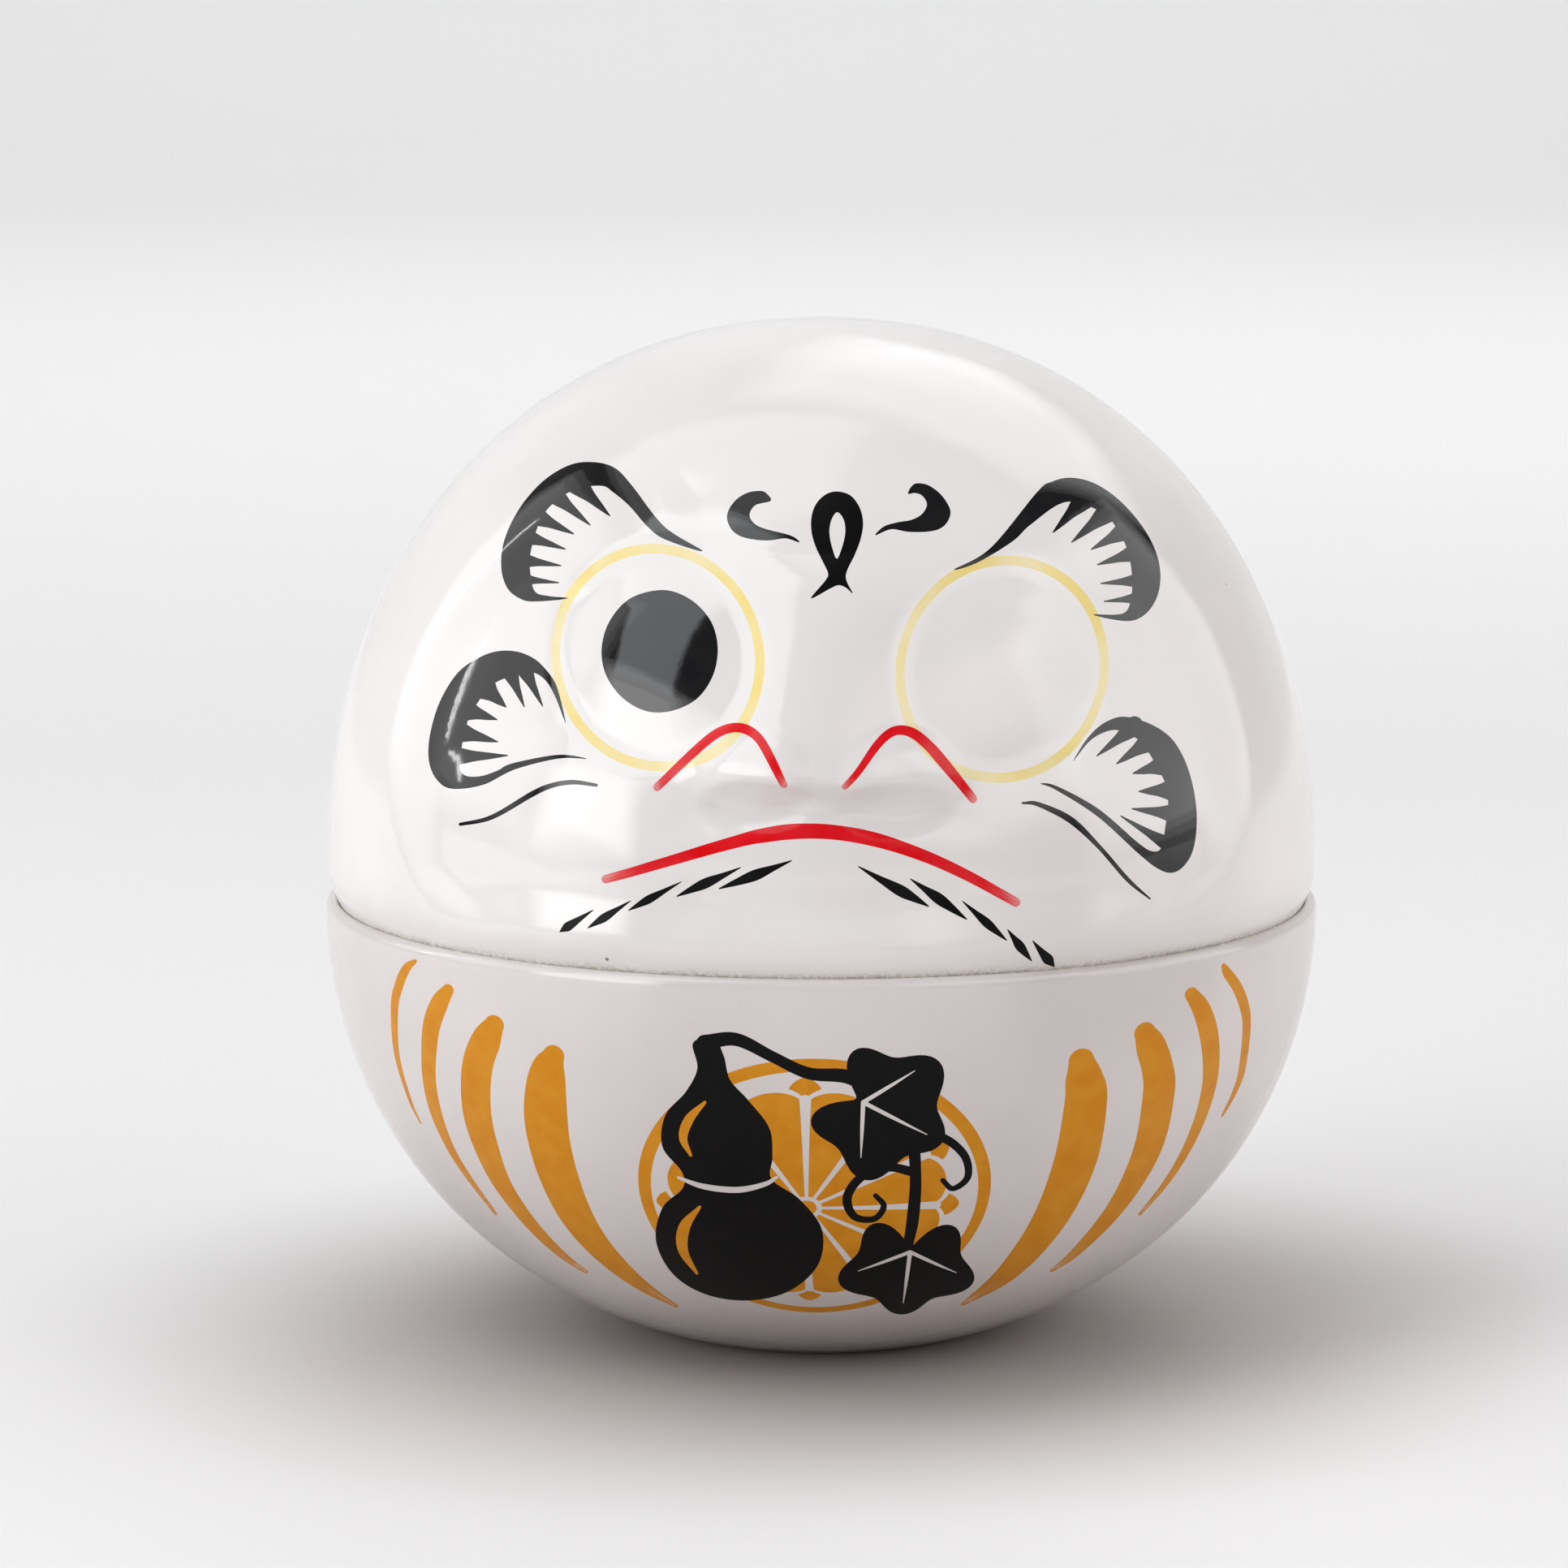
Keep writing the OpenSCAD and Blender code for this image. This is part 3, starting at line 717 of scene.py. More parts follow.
class PaintedWall:
    """A spun wall whose front is a fine patch, cut along the outlines of its painted marks."""

    def __init__(self, name, wall, marks, s_outside, z_patch, bare):
        self.name = name
        self.wall = wall
        self.bare = bare
        self.s_outside = s_outside
        self.s_patch = [float(wall.outer_s(z, *s_outside)) for z in z_patch]
        self.marks = marks
        for mark in marks:
            mark.carry(self.to_chart)

    def to_chart(self, xz):
        """Front view (x, z) to the flat chart: turn angle times the pot's radius, and length s."""
        s = self.wall.outer_s(xz[:, 1], *self.s_outside)
        r = self.wall.rz(s)[0]
        return np.column_stack([np.arcsin(np.clip(xz[:, 0] / r, -0.999, 0.999)) * POT_R, s])

    def grid(self):
        """Spun part: vertices (theta, s) and faces, with the patch left out."""
        rings = self.wall.rings(longest=1.1, turn=math.radians(8))
        low, high = self.s_patch
        clear = [r for r in rings if min(abs(r - low), abs(r - high)) > RING_GAP]
        rings = np.array(sorted(set(clear) | {low, high}))
        self.row_low = int(np.argmin(abs(rings - low)))
        self.row_high = int(np.argmin(abs(rings - high)))
        self.rings = rings
        self.index = -np.ones((len(rings), SEGMENTS), int)
        verts = []
        pole = self.wall.rz(rings)[0] < 1e-6
        for i, s in enumerate(rings):
            if pole[i]:
                self.index[i, :] = len(verts)
                verts.append((0.0, s))
                continue
            for j in range(SEGMENTS):
                column = j - SEGMENTS // 2
                if self.row_low < i < self.row_high and abs(column) < PATCH_SEGMENTS:
                    continue
                self.index[i, j] = len(verts)
                verts.append((column * 2 * math.pi / SEGMENTS, s))
        faces = []
        for i in range(len(rings) - 1):
            for j in range(SEGMENTS):
                column = j - SEGMENTS // 2
                if self.row_low <= i < self.row_high and -PATCH_SEGMENTS <= column < PATCH_SEGMENTS:
                    continue
                k = (j + 1) % SEGMENTS
                corners = [self.index[i, j], self.index[i, k], self.index[i + 1, k], self.index[i + 1, j]]
                faces.append(without_repeats(corners))
        return verts, faces

    def patch_border(self):
        """Grid vertices round the patch, anticlockwise."""
        first = SEGMENTS // 2 - PATCH_SEGMENTS
        last = SEGMENTS // 2 + PATCH_SEGMENTS
        lo, hi = self.row_low, self.row_high
        cells = [(lo, j) for j in range(first, last)] + [(i, last) for i in range(lo, hi)]
        cells += [(hi, j) for j in range(last, first, -1)] + [(i, first) for i in range(hi, lo, -1)]
        return [int(self.index[c]) for c in cells]

    def filler(self, fixed):
        """Vertices between the marks, in a honeycomb that keeps off every fixed one."""
        half_u = PATCH_SEGMENTS * 2 * math.pi / SEGMENTS * POT_R
        tree = KDTree(len(fixed))
        for i, (u, s) in enumerate(fixed):
            tree.insert((u, s, 0), i)
        tree.balance()
        out = []
        rows = int((self.s_patch[1] - self.s_patch[0]) / (FILL * 0.866))
        for i in range(1, rows):
            s = self.s_patch[0] + (self.s_patch[1] - self.s_patch[0]) * i / rows
            for j in range(int(-half_u / FILL) + 1, int(half_u / FILL)):
                u = (j + 0.5 * (i % 2)) * FILL
                if half_u - abs(u) < EDGE_GAP:
                    continue
                if tree.find((u, s, 0))[2] > MARK_GAP:
                    out.append((u, s))
        return out

    def build(self):
        verts, faces = self.grid()
        border = self.patch_border()
        fixed = [(verts[i][0] * POT_R, verts[i][1]) for i in border]
        edges = [(i, (i + 1) % len(border)) for i in range(len(border))]
        for mark in self.marks:
            start, count = len(fixed), len(mark.outline)
            fixed += [tuple(p) for p in mark.outline]
            edges += [(start + i, start + (i + 1) % count) for i in range(count)]
        points = fixed + self.filler(fixed)
        cut, _, triangles, origin, _, _ = delaunay_2d_cdt([Vector(p) for p in points], edges, [], 0,
                                                          MERGE, True)
        chart = np.array([tuple(p) for p in cut])
        number = np.full(len(chart), -1)
        for i, came_from in enumerate(origin):
            for o in came_from:
                if o < len(border):
                    number[i] = border[o]
        fresh = np.where(number < 0)[0]
        number[fresh] = len(verts) + np.arange(len(fresh))
        triangles = np.array(triangles)
        paint = self.paint_of(chart[triangles].mean(axis=1))
        ink = self.ink_of(chart)
        verts = np.concatenate([np.array(verts), np.column_stack([chart[fresh, 0] / POT_R, chart[fresh, 1]])])
        marks = np.zeros((len(verts), 2))
        marks[number] = ink
        return self.mesh(verts, faces, number[triangles], paint, marks)

    def paint_of(self, centres):
        paint = np.zeros(len(centres), int)
        for mark in self.marks:
            near = mark.near(centres)
            hit = near[winding_inside(centres[near, 0], centres[near, 1], mark.outline)]
            paint[hit] = PAINTS.index(mark.paint)
        return paint

    def ink_of(self, chart):
        """For each vertex in a stroke: how far along it is, 0 to 1, and how far across, -1 to 1."""
        ink = np.zeros((len(chart), 2))
        for mark in self.marks:
            spine = mark.spine
            if spine is None or mark.paint not in ("gold", "red"):
                continue
            near = mark.near(chart, INK_MARGIN)
            gap = np.linalg.norm(chart[near][:, None, :] - spine[None, :, :], axis=2)
            closest = gap.argmin(axis=1)
            way = np.gradient(spine, axis=0)[closest]
            offset = chart[near] - spine[closest]
            sign = np.sign(way[:, 0] * offset[:, 1] - way[:, 1] * offset[:, 0])
            reach = gap[np.arange(len(near)), closest]
            inside = reach < mark.widths[closest] * INK_REACH + INK_SLACK
            rows = near[inside]
            ink[rows, 0] = closest[inside] / (len(spine) - 1)
            ink[rows, 1] = (sign * reach / mark.widths[closest])[inside]
        return ink

    def mesh(self, verts, faces, triangles, paint, ink):
        place = self.wall.place(verts[:, 0], verts[:, 1])
        normal = self.wall.normal(verts[:, 0], verts[:, 1])
        mesh = new_mesh(self.name, (place * MM).tolist(), faces + triangles.tolist())
        z_mid = [np.mean([verts[c][1] for c in f]) for f in faces]
        index = [PAINTS.index("bare") if self.bare(s) else 0 for s in z_mid] + paint.tolist()
        mesh.polygons.foreach_set("material_index", np.array(index, np.int32))
        mesh.polygons.foreach_set("use_smooth", np.ones(len(index), bool))
        for name, values in (("ink_t", ink[:, 0]), ("ink_c", ink[:, 1])):
            mesh.attributes.new(name, "FLOAT", "POINT").data.foreach_set("value", values.astype(np.float32))
        at_pole = np.linalg.norm(place[:, :2], axis=1) < 1e-3
        normal[at_pole] = 0
        mesh.validate()
        mesh.normals_split_custom_set_from_vertices(normal.tolist())
        mesh.update()
        return mesh


# ---------------------------------------------------------------- materials

HEAD_WHITE = ((0.71, 0.68, 0.666), (0.77, 0.74, 0.726))
# the pot's white is the head's glaze painted darker: painted shade for the pot's lower, less lit body
POT_SHADED_WHITE = ((0.58, 0.536, 0.525), (0.64, 0.594, 0.582))
TAUPE = (0.50, 0.44, 0.40)
SEAM_SHADE_REACH = 5.0             # how far from the worn band the painted seam shade reaches, as a multiple of the band
CLAY = (0.76, 0.71, 0.67)


class Shader:
    """A material being built: one Principled shader, fed by small helpers."""

    def __init__(self, name, roughness, ior=1.5):
        self.material = bpy.data.materials.new(name)
        self.material.use_nodes = True
        self.tree = self.material.node_tree
        self.tree.nodes.clear()
        self.surface = self.add("ShaderNodeBsdfPrincipled")
        self.surface.inputs["Roughness"].default_value = roughness
        self.surface.inputs["IOR"].default_value = ior
        out = self.add("ShaderNodeOutputMaterial")
        self.link(self.surface.outputs[0], out.inputs["Surface"])
        self.place = self.add("ShaderNodeTexCoord").outputs["Object"]

    def add(self, kind, **settings):
        made = self.tree.nodes.new(kind)
        for key, value in settings.items():
            setattr(made, key, value)
        return made

    def link(self, source, target):
        self.tree.links.new(source, target)

    def feed(self, value, socket):
        if isinstance(value, bpy.types.NodeSocket):
            self.link(value, socket)
        elif isinstance(value, tuple):
            socket.default_value = (*value, 1)
        else:
            socket.default_value = value

    def noise(self, scale, detail=2.0, vector=None):
        made = self.add("ShaderNodeTexNoise")
        made.inputs["Scale"].default_value = scale
        made.inputs["Detail"].default_value = detail
        self.link(vector or self.place, made.inputs["Vector"])
        return made.outputs["Fac"]

    def spots(self, scale):
        """Distance to scattered points, and a random value for each point."""
        made = self.add("ShaderNodeTexVoronoi")
        made.inputs["Scale"].default_value = scale
        self.link(self.place, made.inputs["Vector"])
        parts = self.add("ShaderNodeSeparateColor")
        self.link(made.outputs["Color"], parts.inputs[0])
        return made.outputs["Distance"], parts.outputs[0]

    def math(self, operation, a, b=0.0):
        made = self.add("ShaderNodeMath", operation=operation)
        self.feed(a, made.inputs[0])
        self.feed(b, made.inputs[1])
        return made.outputs[0]

    def ramp(self, value, low, high, out_low=0.0, out_high=1.0):
        """Smooth step from out_low to out_high as value goes from low to high."""
        made = self.add("ShaderNodeMapRange", interpolation_type="SMOOTHSTEP")
        for i, v in enumerate((value, low, high, out_low, out_high)):
            self.feed(v, made.inputs[i])
        return made.outputs[0]

    def mix(self, share, a, b):
        made = self.add("ShaderNodeMix", data_type="RGBA")
        colours = [s for s in made.inputs if s.type == "RGBA"]
        self.feed(share, made.inputs[0])
        self.feed(a, colours[0])
        self.feed(b, colours[1])
        return [s for s in made.outputs if s.type == "RGBA"][0]

    def height(self):
        parts = self.add("ShaderNodeSeparateXYZ")
        self.link(self.place, parts.inputs[0])
        return self.math("MULTIPLY", parts.outputs[2], 1 / MM)

    def attribute(self, name):
        return self.add("ShaderNodeAttribute", attribute_name=name).outputs["Fac"]

    def bump(self, height, distance, strength=1.0):
        made = self.add("ShaderNodeBump")
        made.inputs["Strength"].default_value = strength
        made.inputs["Distance"].default_value = distance
        self.feed(height, made.inputs["Height"])
        self.link(made.outputs[0], self.surface.inputs["Normal"])

    def colour(self, value):
        self.feed(value, self.surface.inputs["Base Color"])

    def roughness(self, value):
        self.feed(value, self.surface.inputs["Roughness"])


def glaze_white(shader, tint=HEAD_WHITE):
    """Slightly uneven white with a few iron specks."""
    cloud = shader.ramp(shader.noise(38, 3), 0.32, 0.68)
    white = shader.mix(cloud, *tint)
    distance, chance = shader.spots(150)
    speck = shader.math("MULTIPLY", shader.ramp(distance, 0.035, 0.02), shader.ramp(chance, 0.93, 0.95))
    return shader.mix(speck, white, (0.10, 0.07, 0.05))


def glaze_material(name, tint=HEAD_WHITE, seam=None, thin=0.0):
    """Clear glaze over white clay.

    seam is (start, end) height in mm over which it wears to bare clay, and thin is the strength of a painted
    shade that darkens the glaze towards taupe next to the worn band, standing in for the shade above the
    seam.
    """
    shader = Shader(name, 0.07)
    white = glaze_white(shader, tint)
    if seam:
        z = shader.height()
        wander = shader.math("MULTIPLY", shader.math("SUBTRACT", shader.noise(420, 3), 0.5), 0.9)
        start, end = seam
        # painted shade: the glaze darkens towards taupe over a band above the worn edge, for the shade above
        # the seam
        through = shader.ramp(z, start, start + SEAM_SHADE_REACH * (start - end), thin, 0.0)
        white = shader.mix(through, white, TAUPE)
        worn = shader.ramp(shader.math("ADD", z, wander), start, end)
        grit = shader.ramp(shader.noise(2600, 2), 0.4, 0.62)
        white = shader.mix(worn, white, shader.mix(grit, TAUPE, CLAY))
        shader.roughness(shader.ramp(worn, 0.0, 1.0, 0.07, 0.55))
    shader.colour(white)
    swell = shader.math("ADD", shader.noise(60, 2), shader.math("MULTIPLY", shader.noise(420, 2), 0.05))
    shader.bump(swell, 0.00045, 0.5)
    return shader.material


def clay_material():
    shader = Shader("bare_clay", 0.72)
    grain = shader.noise(2200, 3)
    shader.colour(shader.mix(shader.ramp(grain, 0.35, 0.65), (0.52, 0.45, 0.38), (0.68, 0.61, 0.54)))
    shader.bump(grain, 0.00008, 0.6)
    return shader.material


def enamel_material(name, thin, thick, roughness, fades, ior=1.5, both_ends=False, patches=420):
    """Overglaze enamel. fades is how strongly the stroke thins out towards its ends."""
    shader = Shader(name, roughness, ior)
    body = shader.mix(shader.ramp(shader.noise(patches, 4), 0.3, 0.7), thin, thick)
    if fades:
        t = shader.attribute("ink_t")
        if both_ends:
            t = shader.math("ABSOLUTE", shader.math("SUBTRACT", shader.math("MULTIPLY", t, 2.0), 1.0))
        c = shader.attribute("ink_c")
        lane = shader.add("ShaderNodeCombineXYZ")
        shader.link(shader.math("MULTIPLY", t, 3.0), lane.inputs[0])
        shader.link(shader.math("MULTIPLY", c, 4.5), lane.inputs[1])
        hairs = shader.noise(1.6, 3, lane.outputs[0])
        ragged = shader.math("MULTIPLY", shader.math("SUBTRACT", hairs, 0.5), 0.55)
        dry = shader.ramp(shader.math("ADD", t, ragged), 0.86, 1.08)
        edge = shader.ramp(shader.math("ABSOLUTE", c), 0.55, 1.0, 0.0, 0.22)
        body = shader.mix(edge, body, thin)
        body = shader.mix(shader.math("MULTIPLY", dry, fades), body, glaze_white(shader))
    shader.colour(body)
    shader.bump(shader.noise(700, 3), 0.00005, 0.12)
    return shader.material


def silicone_material():
    shader = Shader("clear_silicone", 0.42, 1.41)
    cloud = shader.noise(90, 2)
    shader.colour(shader.mix(shader.ramp(cloud, 0.3, 0.7), (0.60, 0.60, 0.58), (0.70, 0.70, 0.68)))
    return shader.material


def studio_material():
    """Pale paper, with a painted contact shadow round the object's foot."""
    shader = Shader("studio_paper", 0.85)
    length = shader.add("ShaderNodeVectorMath", operation="LENGTH")
    shader.link(shader.place, length.inputs[0])
    # painted contact shadow: dark paper under and round the foot, fading out by 90 mm from the centre
    near = shader.ramp(length.outputs["Value"], 0.015, 0.09)
    far = shader.ramp(length.outputs["Value"], 0.3, 1.2)
    paper = shader.mix(near, (0.34, 0.30, 0.285), (0.80, 0.79, 0.785))
    shader.colour(shader.mix(far, paper, (0.80, 0.797, 0.793)))
    return shader.material


def paint_materials(glaze):
    """One material for each of PAINTS. An enamel has a thin and a thick colour, a roughness and a fading."""
    return [glaze,
            enamel_material("black_enamel", (0.009, 0.008, 0.008), (0.004, 0.004, 0.005), 0.06, 0.0),
            enamel_material("red_enamel", (0.67, 0.010, 0.018), (0.64, 0.0013, 0.004), 0.16, 0.45, 1.3, True),
            enamel_material("gold_enamel", (0.60, 0.243, 0.011), (0.56, 0.203, 0.003), 0.30, 0.7, 1.25),
            enamel_material("yellow_enamel", (0.76, 0.68, 0.42), (0.75, 0.58, 0.15), 0.12, 0.0, patches=110),
            CLAY_MATERIAL,
            enamel_material("black_ink", (0.0035, 0.003, 0.003), (0.002, 0.002, 0.002), 0.34, 0.0, 1.2)]


CLAY_MATERIAL = clay_material()
PLAIN_GLAZE = glaze_material("white_glaze")


# ---------------------------------------------------------------- pieces

def show(name, mesh, materials, body, nodes):
    """Adds a piece, with the body it rides on and the CAD nodes that it stands for."""
    for m in materials:
        mesh.materials.append(m)
    piece = new_object(name, mesh)
    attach(piece, body)
    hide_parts(*nodes)
    return piece


def pot_bare(wall, slack=0.1):
    """Test of a length s on the pot: true on the foot, the head's seat and the lid's shoulder."""
    def on_ledge(r, z, ledge_z, r_in, r_out):
        return abs(z - ledge_z) < slack and r_in - slack < r < r_out + slack

    def bare(s):
        r, z = wall.rz(s)
        seat = on_ledge(r, z, SEAT_Z, POT_R - WALL, POT_R - LIP_T)
        shoulder = on_ledge(r, z, SHOULDER_Z, THROAT_R, POT_R - WALL)
        return z < 0.25 or seat or shoulder
    return bare


def make_pot():
    wall = pot_wall()
    widest = int(np.argmax(wall.points[:, 0]))
    s_outside = (float(wall.s[widest]) - PAINT_LENGTH, float(wall.s[widest]))
    medallion = bent_round_pot(rosette_marks(), wall, *s_outside)
    dip_pot(wall)
    marks = gold_marks() + medallion + gourd_marks()
    painted = PaintedWall("pot", wall, marks, s_outside, POT_PATCH, pot_bare(wall))
    glaze = glaze_material("pot_glaze", POT_SHADED_WHITE, POT_WORN)
    return show("pot", painted.build(), paint_materials(glaze), "pot", ["pot_bowl"])


def dip_pot(wall):
    """The lip dips at the back, where tea pours over it."""
    flat = wall.place

    def place(theta, s):
        out = flat(theta, s)
        r = np.hypot(out[:, 0], out[:, 1])
        depth = DIP_DEPTH - DIP_R + np.sqrt(np.clip(DIP_R ** 2 - out[:, 0] ** 2, 0, None))
        near = (out[:, 1] > 0) & (np.abs(out[:, 0]) < DIP_HALF) & (r > POT_R - WALL + 0.2)
        share = np.clip((out[:, 2] - (LIP_Z - DIP_FADE)) / DIP_FADE, 0, 1)
        out[:, 2] -= np.where(near, np.clip(depth, 0, None) * share, 0)
        return out
    wall.place = place


def make_head():
    wall = head_wall()
    rim = int(np.argmax((wall.points[:, 1] < SEAT_Z + 0.01) & (wall.points[:, 0] > RIM_R - 1.5)))
    s_outside = (float(wall.s[rim]) + 1.5, float(wall.s[-1]))
    wall.relief = head_relief(s_outside[0])
    painted = PaintedWall("head", wall, head_marks(), s_outside, HEAD_PATCH,
                          lambda s: wall.rz(s)[1] < SEAT_Z + 0.4)
    glaze = glaze_material("head_glaze", HEAD_WHITE, HEAD_WORN, HEAD_SEAM_SHADE)
    return show("head", painted.build(), paint_materials(glaze), "head", ["head_cup"])


def spun_mesh(name, wall, segments=128):
    """A spun solid whose section starts and ends on the axis, or closes on itself."""
    rings = wall.rings(longest=1.2, turn=math.radians(7))
    closed = wall.points[0, 0] > 1e-6
    if closed:
        rings = rings[:-1]
    verts, index, thetas, lengths = [], [], [], []
    for s in rings:
        radius, height = (float(v) for v in wall.rz(s))
        on_axis = radius < 1e-6
        row = []
        for j in range(1 if on_axis else segments):
            theta = 2 * math.pi * j / segments
            row.append(len(verts))
            thetas.append(theta)
            lengths.append(s)
            verts.append((radius * math.sin(theta) * MM, -radius * math.cos(theta) * MM, height * MM))
        index.append(row * segments if on_axis else row)
    faces = []
    rows = len(index)
    for i in range(rows if closed else rows - 1):
        a, b = index[i], index[(i + 1) % rows]
        for j in range(segments):
            k = (j + 1) % segments
            faces.append(without_repeats([a[j], a[k], b[k], b[j]]))
    mesh = new_mesh(name, verts, faces)
    mesh.validate()
    mesh.polygons.foreach_set("use_smooth", np.ones(len(mesh.polygons), bool))
    mesh.set_sharp_from_angle(angle=math.radians(35))
    return mesh


def make_small_cup():
    z0, z1 = CUP_LOW[2], CUP_HIGH[2]
    cup_r, inner_r = CUP_HIGH[0], CUP_HIGH[0] - CUP_WALL
    body_h = z1 - z0 - CUP_FOOT_H
    foot_a = math.degrees(math.acos(((CUP_FOOT_R + 0.5) / cup_r) ** (CUP_N / 2)))
    outside = quarter(cup_r, body_h, CUP_N, 0, foot_a, 500)
    inside = quarter(inner_r, body_h - CUP_WALL, CUP_N, 90, 0, 500)
    for run in (outside, inside):
        run[:, 1] += z0
    outside = outside[outside[:, 1] > z0 + 1.3]
    inside = inside[inside[:, 1] > z0 + 1.3]
    inside[0, 0] = 0
    mid_r = cup_r - CUP_WALL / 2
    foot_in, foot_z = CUP_FOOT_R - CUP_FOOT_T, z1 - CUP_FOOT_RECESS
    wall = Wall(section([
        inside, (inner_r, z0, 1.1), [(mid_r, z0)], (cup_r, z0, 1.1), outside,
        (CUP_FOOT_R, z0 + body_h + 0.5, 0.6), (CUP_FOOT_R - 0.5, z1, 0.6), (foot_in, z1, 0.6),
        (foot_in, foot_z, 0.5), [(0, foot_z)]]))
    mesh = spun_mesh("small_cup", wall)
    show("cup", mesh, [PLAIN_GLAZE, CLAY_MATERIAL], "small_cup", ["small_cup"])
    mark_bare(mesh, lambda x, y, z: z > z1 - 0.12 or z < z0 + 0.08)


def mark_bare(mesh, test):
    """Gives the second material to the faces whose centre passes a test."""
    for face in mesh.polygons:
        x, y, z = face.center / MM
        if test(x, y, z):
            face.material_index = 1


def make_knob():
    z0, z1, r = KNOB_LOW[2], KNOB_HIGH[2], KNOB_HIGH[0]
    neck, cap_z = r * KNOB_NECK, z0 + (z1 - z0) * KNOB_CAP
    cap_h = (z1 - z0) * (1 - KNOB_CAP)
    cap = quarter(r, cap_h - 0.6, 2.2, 0, 90, 300)
    cap[:, 1] += cap_z + 0.6
    cap[-1, 0] = 0
    wall = Wall(section([
        [(0, z0), (neck + 1.0, z0)], (neck + 1.4, z0, 0.2), (neck + 0.2, z0 + 1.6, 1.2),
        (neck, cap_z - 1.2, 0.8), (r - 0.5, cap_z, 0.5), cap[8:]]))
    show("knob", spun_mesh("knob", wall), [PLAIN_GLAZE], "lid", ["lid_knob"])


def make_lid():
    top, boss_top = SHOULDER_Z + PLATE_T, LID_HIGH[2]
    low, lid_r = LID_LOW[2], LID_HIGH[0]
    skirt_in = SKIRT_R - SKIRT_T
    groove_r, groove_z = SKIRT_R - GROOVE_DEPTH, SHOULDER_Z - GROOVE_DROP
    boss_r = CUP_HIGH[0] - CUP_WALL - CUP_PLAY
    wall = Wall(section([
        [(0, SHOULDER_Z), (skirt_in - 2, SHOULDER_Z)], (skirt_in, SHOULDER_Z, 0.8), (skirt_in, low, 0.7),
        (SKIRT_R, low, 0.7), (SKIRT_R, groove_z, 0.15), (groove_r, groove_z, 0.15),
        (groove_r, groove_z + GROOVE_H, 0.15), (SKIRT_R, groove_z + GROOVE_H, 0.15),
        (SKIRT_R, SHOULDER_Z, 0.3), (lid_r, SHOULDER_Z, 0.5), (lid_r, top, 1.0), (boss_r + 0.5, top, 0.4),
        (boss_r, boss_top, 0.4), [(boss_r - 2, boss_top), (0, boss_top)]]))
    mesh = spun_mesh("lid_plate", wall, 160)
    piece = show("lid", mesh, [PLAIN_GLAZE, CLAY_MATERIAL], "lid", ["lid_disc"])
    mark_bare(mesh, lambda x, y, z: abs(z - SHOULDER_Z) < 0.06 and math.hypot(x, y) > SKIRT_R + 0.2)
    drill(piece, lid_holes())


def lid_holes():
    """Centres and radii of the strainer holes at the back and the air vent at the front."""
    holes = [VENT]
    for radius, count, spacing in STRAINER_ROWS:
        for i in range(count):
            a = math.radians((i - (count - 1) / 2) * spacing)
            holes.append((-radius * math.sin(a), radius * math.cos(a), STRAINER_R))
    return holes


def drill(piece, holes):
    """Cuts round holes up through the lid's plate."""
    verts, faces = [], []
    sides = 24
    for x, y, r in holes:
        start = len(verts)
        for z in (SHOULDER_Z - 1, SHOULDER_Z + 5):
            for k in range(sides):
                a = 2 * math.pi * k / sides
                verts.append(((x + r * math.cos(a)) * MM, (y + r * math.sin(a)) * MM, z * MM))
        faces.append([start + k for k in reversed(range(sides))])
        faces.append([start + sides + k for k in range(sides)])
        for k in range(sides):
            n = (k + 1) % sides
            faces.append([start + k, start + n, start + sides + n, start + sides + k])
    tool = new_object("drill", new_mesh("drill", verts, faces))
    cut = piece.modifiers.new("holes", "BOOLEAN")
    cut.object = tool
    cut.operation = "DIFFERENCE"
    cut.solver = "EXACT"
    bpy.context.view_layer.update()
    done = bpy.data.meshes.new_from_object(piece.evaluated_get(bpy.context.evaluated_depsgraph_get()))
    piece.modifiers.clear()
    piece.data = done
    done.set_sharp_from_angle(angle=math.radians(35))
    bpy.data.objects.remove(tool)


def make_seal():
    low, high, out_r = SEAL_LOW[2], SEAL_HIGH[2], SEAL_HIGH[0]
    back = out_r - SEAL_T
    mid = (low + high) / 2
    loop = [(back, low), (back + 0.9, low), (back + 1.3, mid - 0.35), (out_r, mid - 0.15),
            (out_r, mid + 0.15), (back + 1.3, mid + 0.35), (back + 0.9, high), (back, high), (back, mid),
            (back, low)]
    mesh = spun_mesh("seal", Wall(np.array(loop)), 160)
    show("seal", mesh, [silicone_material()], "lid", ["lid_seal"])


# ---------------------------------------------------------------- studio

CENTRE = Vector((0, 0, 0.05))
WARM = (1.0, 0.93, 0.91)
COOL = (0.93, 0.97, 1.0)


def toward(azimuth, elevation):
    """Unit vector at an angle round from the front, positive to the viewer's right, and above the horizon."""
    a, e = math.radians(azimuth), math.radians(elevation)
    return Vector((math.sin(a) * math.cos(e), -math.cos(a) * math.cos(e), math.sin(e)))


def area_light(name, location, way, width, height, radiance, tint=(1, 1, 1)):
    """A flat light of the given size in metres, whose lit face looks against way."""
    light = bpy.data.lights.new(name, "AREA")
    light.shape = "RECTANGLE"
    light.size = width
    light.size_y = height
    light.energy = 4 * width * height * radiance
    light.color = tint
    lamp = new_object(name, light)
    lamp.location = location
    lamp.rotation_euler = way.to_track_quat("Z", "Y").to_euler()


def softbox(name, azimuth, elevation, distance, width, height, radiance, fade=0.62, layers=5, tint=(1, 1, 1)):
    """A soft box that looks at the object. Nested lights make it fade out towards its edges."""
    way = toward(azimuth, elevation)
    for i in range(layers):
        share = 1 - fade * i / layers
        area_light(f"{name}_{i}", CENTRE + way * (distance + 0.004 * i), way, width * share, height * share,
                   radiance / layers, tint)


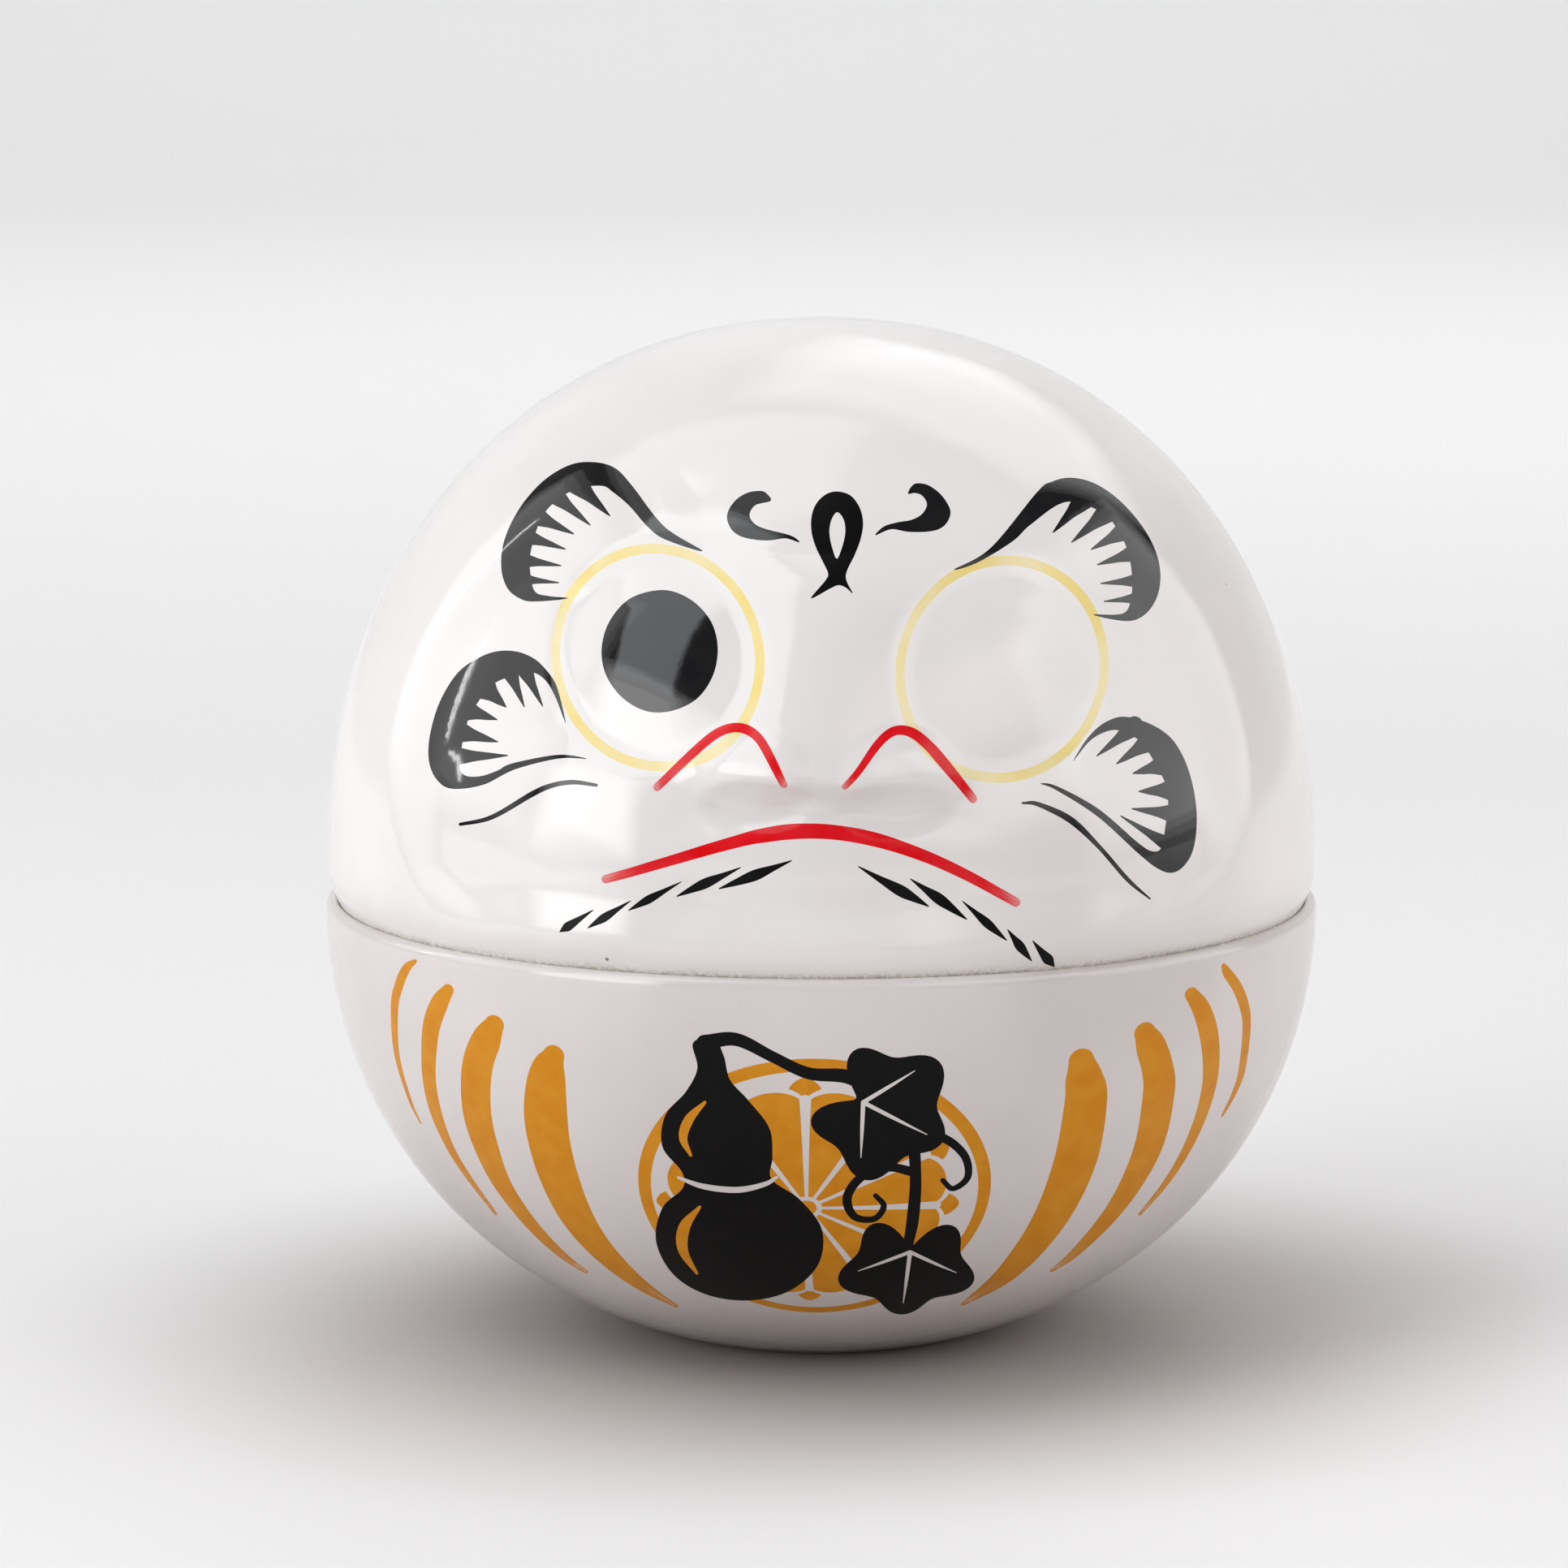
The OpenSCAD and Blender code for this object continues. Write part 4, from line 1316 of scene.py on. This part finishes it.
def make_studio():
    """A pale floor that curves up into a backdrop, and soft boxes to both sides and above."""
    near, back, bend, high, half = -3.0, 1.6, 0.8, 3.0, 4.0
    line = [(near, 0.0), (back, 0.0)]
    line += [(back + bend * math.sin(a), bend * (1 - math.cos(a))) for a in np.radians(np.arange(10, 91, 10))]
    line.append((back + bend, high))
    verts = [(x, y, z) for y, z in line for x in (-half, half)]
    faces = [(2 * i, 2 * i + 1, 2 * i + 3, 2 * i + 2) for i in range(len(line) - 1)]
    mesh = new_mesh("studio_floor", verts, faces)
    mesh.polygons.foreach_set("use_smooth", [True] * len(faces))
    mesh.materials.append(studio_material())
    floor = new_object("studio_floor", mesh)
    # azimuth, elevation, distance, width, height, radiance, fade, layers
    softbox("key_box", -52, 14, 1.2, 0.8, 0.6, 3.8, 0.42)
    softbox("window", -52, 47, 1.2, 0.58, 1.0, 2.1, 0.12, 2, COOL)
    softbox("left_box", -97, 27, 1.3, 1.15, 1.2, 1.12, 0.3, 3)
    softbox("edge_strip", -103, 24, 1.28, 0.025, 0.7, 8.5, 0.0, 1)
    softbox("right_box", 86, 22, 1.3, 1.4, 1.15, 1.66, 0.35, 4)
    softbox("front_fill", 40, 27, 1.3, 1.2, 0.9, 1.28, tint=WARM)
    softbox("top_left_box", -100, 76, 1.1, 0.8, 0.8, 0.75, 0.2, 2)
    softbox("top_back_box", 150, 50, 1.3, 1.3, 0.95, 1.12, 0.4, 4)
    away = Vector((0, -1.0, 0.35)).normalized()
    area_light("backdrop_light", Vector((0, 0.9, 1.5)), away, 2.6, 1.2, 2.1)
    world = bpy.data.worlds.new("studio")
    world.use_nodes = True
    world.node_tree.nodes["Background"].inputs["Color"].default_value = (0.9, 0.93, 1, 1)
    world.node_tree.nodes["Background"].inputs["Strength"].default_value = 0.16
    bpy.context.scene.world = world


def make_camera():
    """Stands at the height and distance that match the photo's view."""
    elevation, distance = math.radians(9.2), 0.7
    aim_x, aim_up = -3.77, 4.94
    back = Vector((0, -math.cos(elevation), math.sin(elevation)))
    up = Vector((0, math.sin(elevation), math.cos(elevation)))
    aim = CENTRE + Vector((aim_x * MM, 0, 0)) + up * (aim_up * MM)
    camera = bpy.data.cameras.new("camera")
    camera.lens = 159.1
    camera.sensor_width = 36
    camera.clip_start = 0.05
    holder = new_object("camera", camera)
    holder.location = CENTRE + back * distance
    holder.rotation_euler = (aim - holder.location).to_track_quat("-Z", "Y").to_euler()
    bpy.context.scene.camera = holder


make_pot()
make_head()
make_small_cup()
make_lid()
make_knob()
make_seal()
make_studio()
make_camera()
bpy.context.scene.view_settings.view_transform = "Standard"
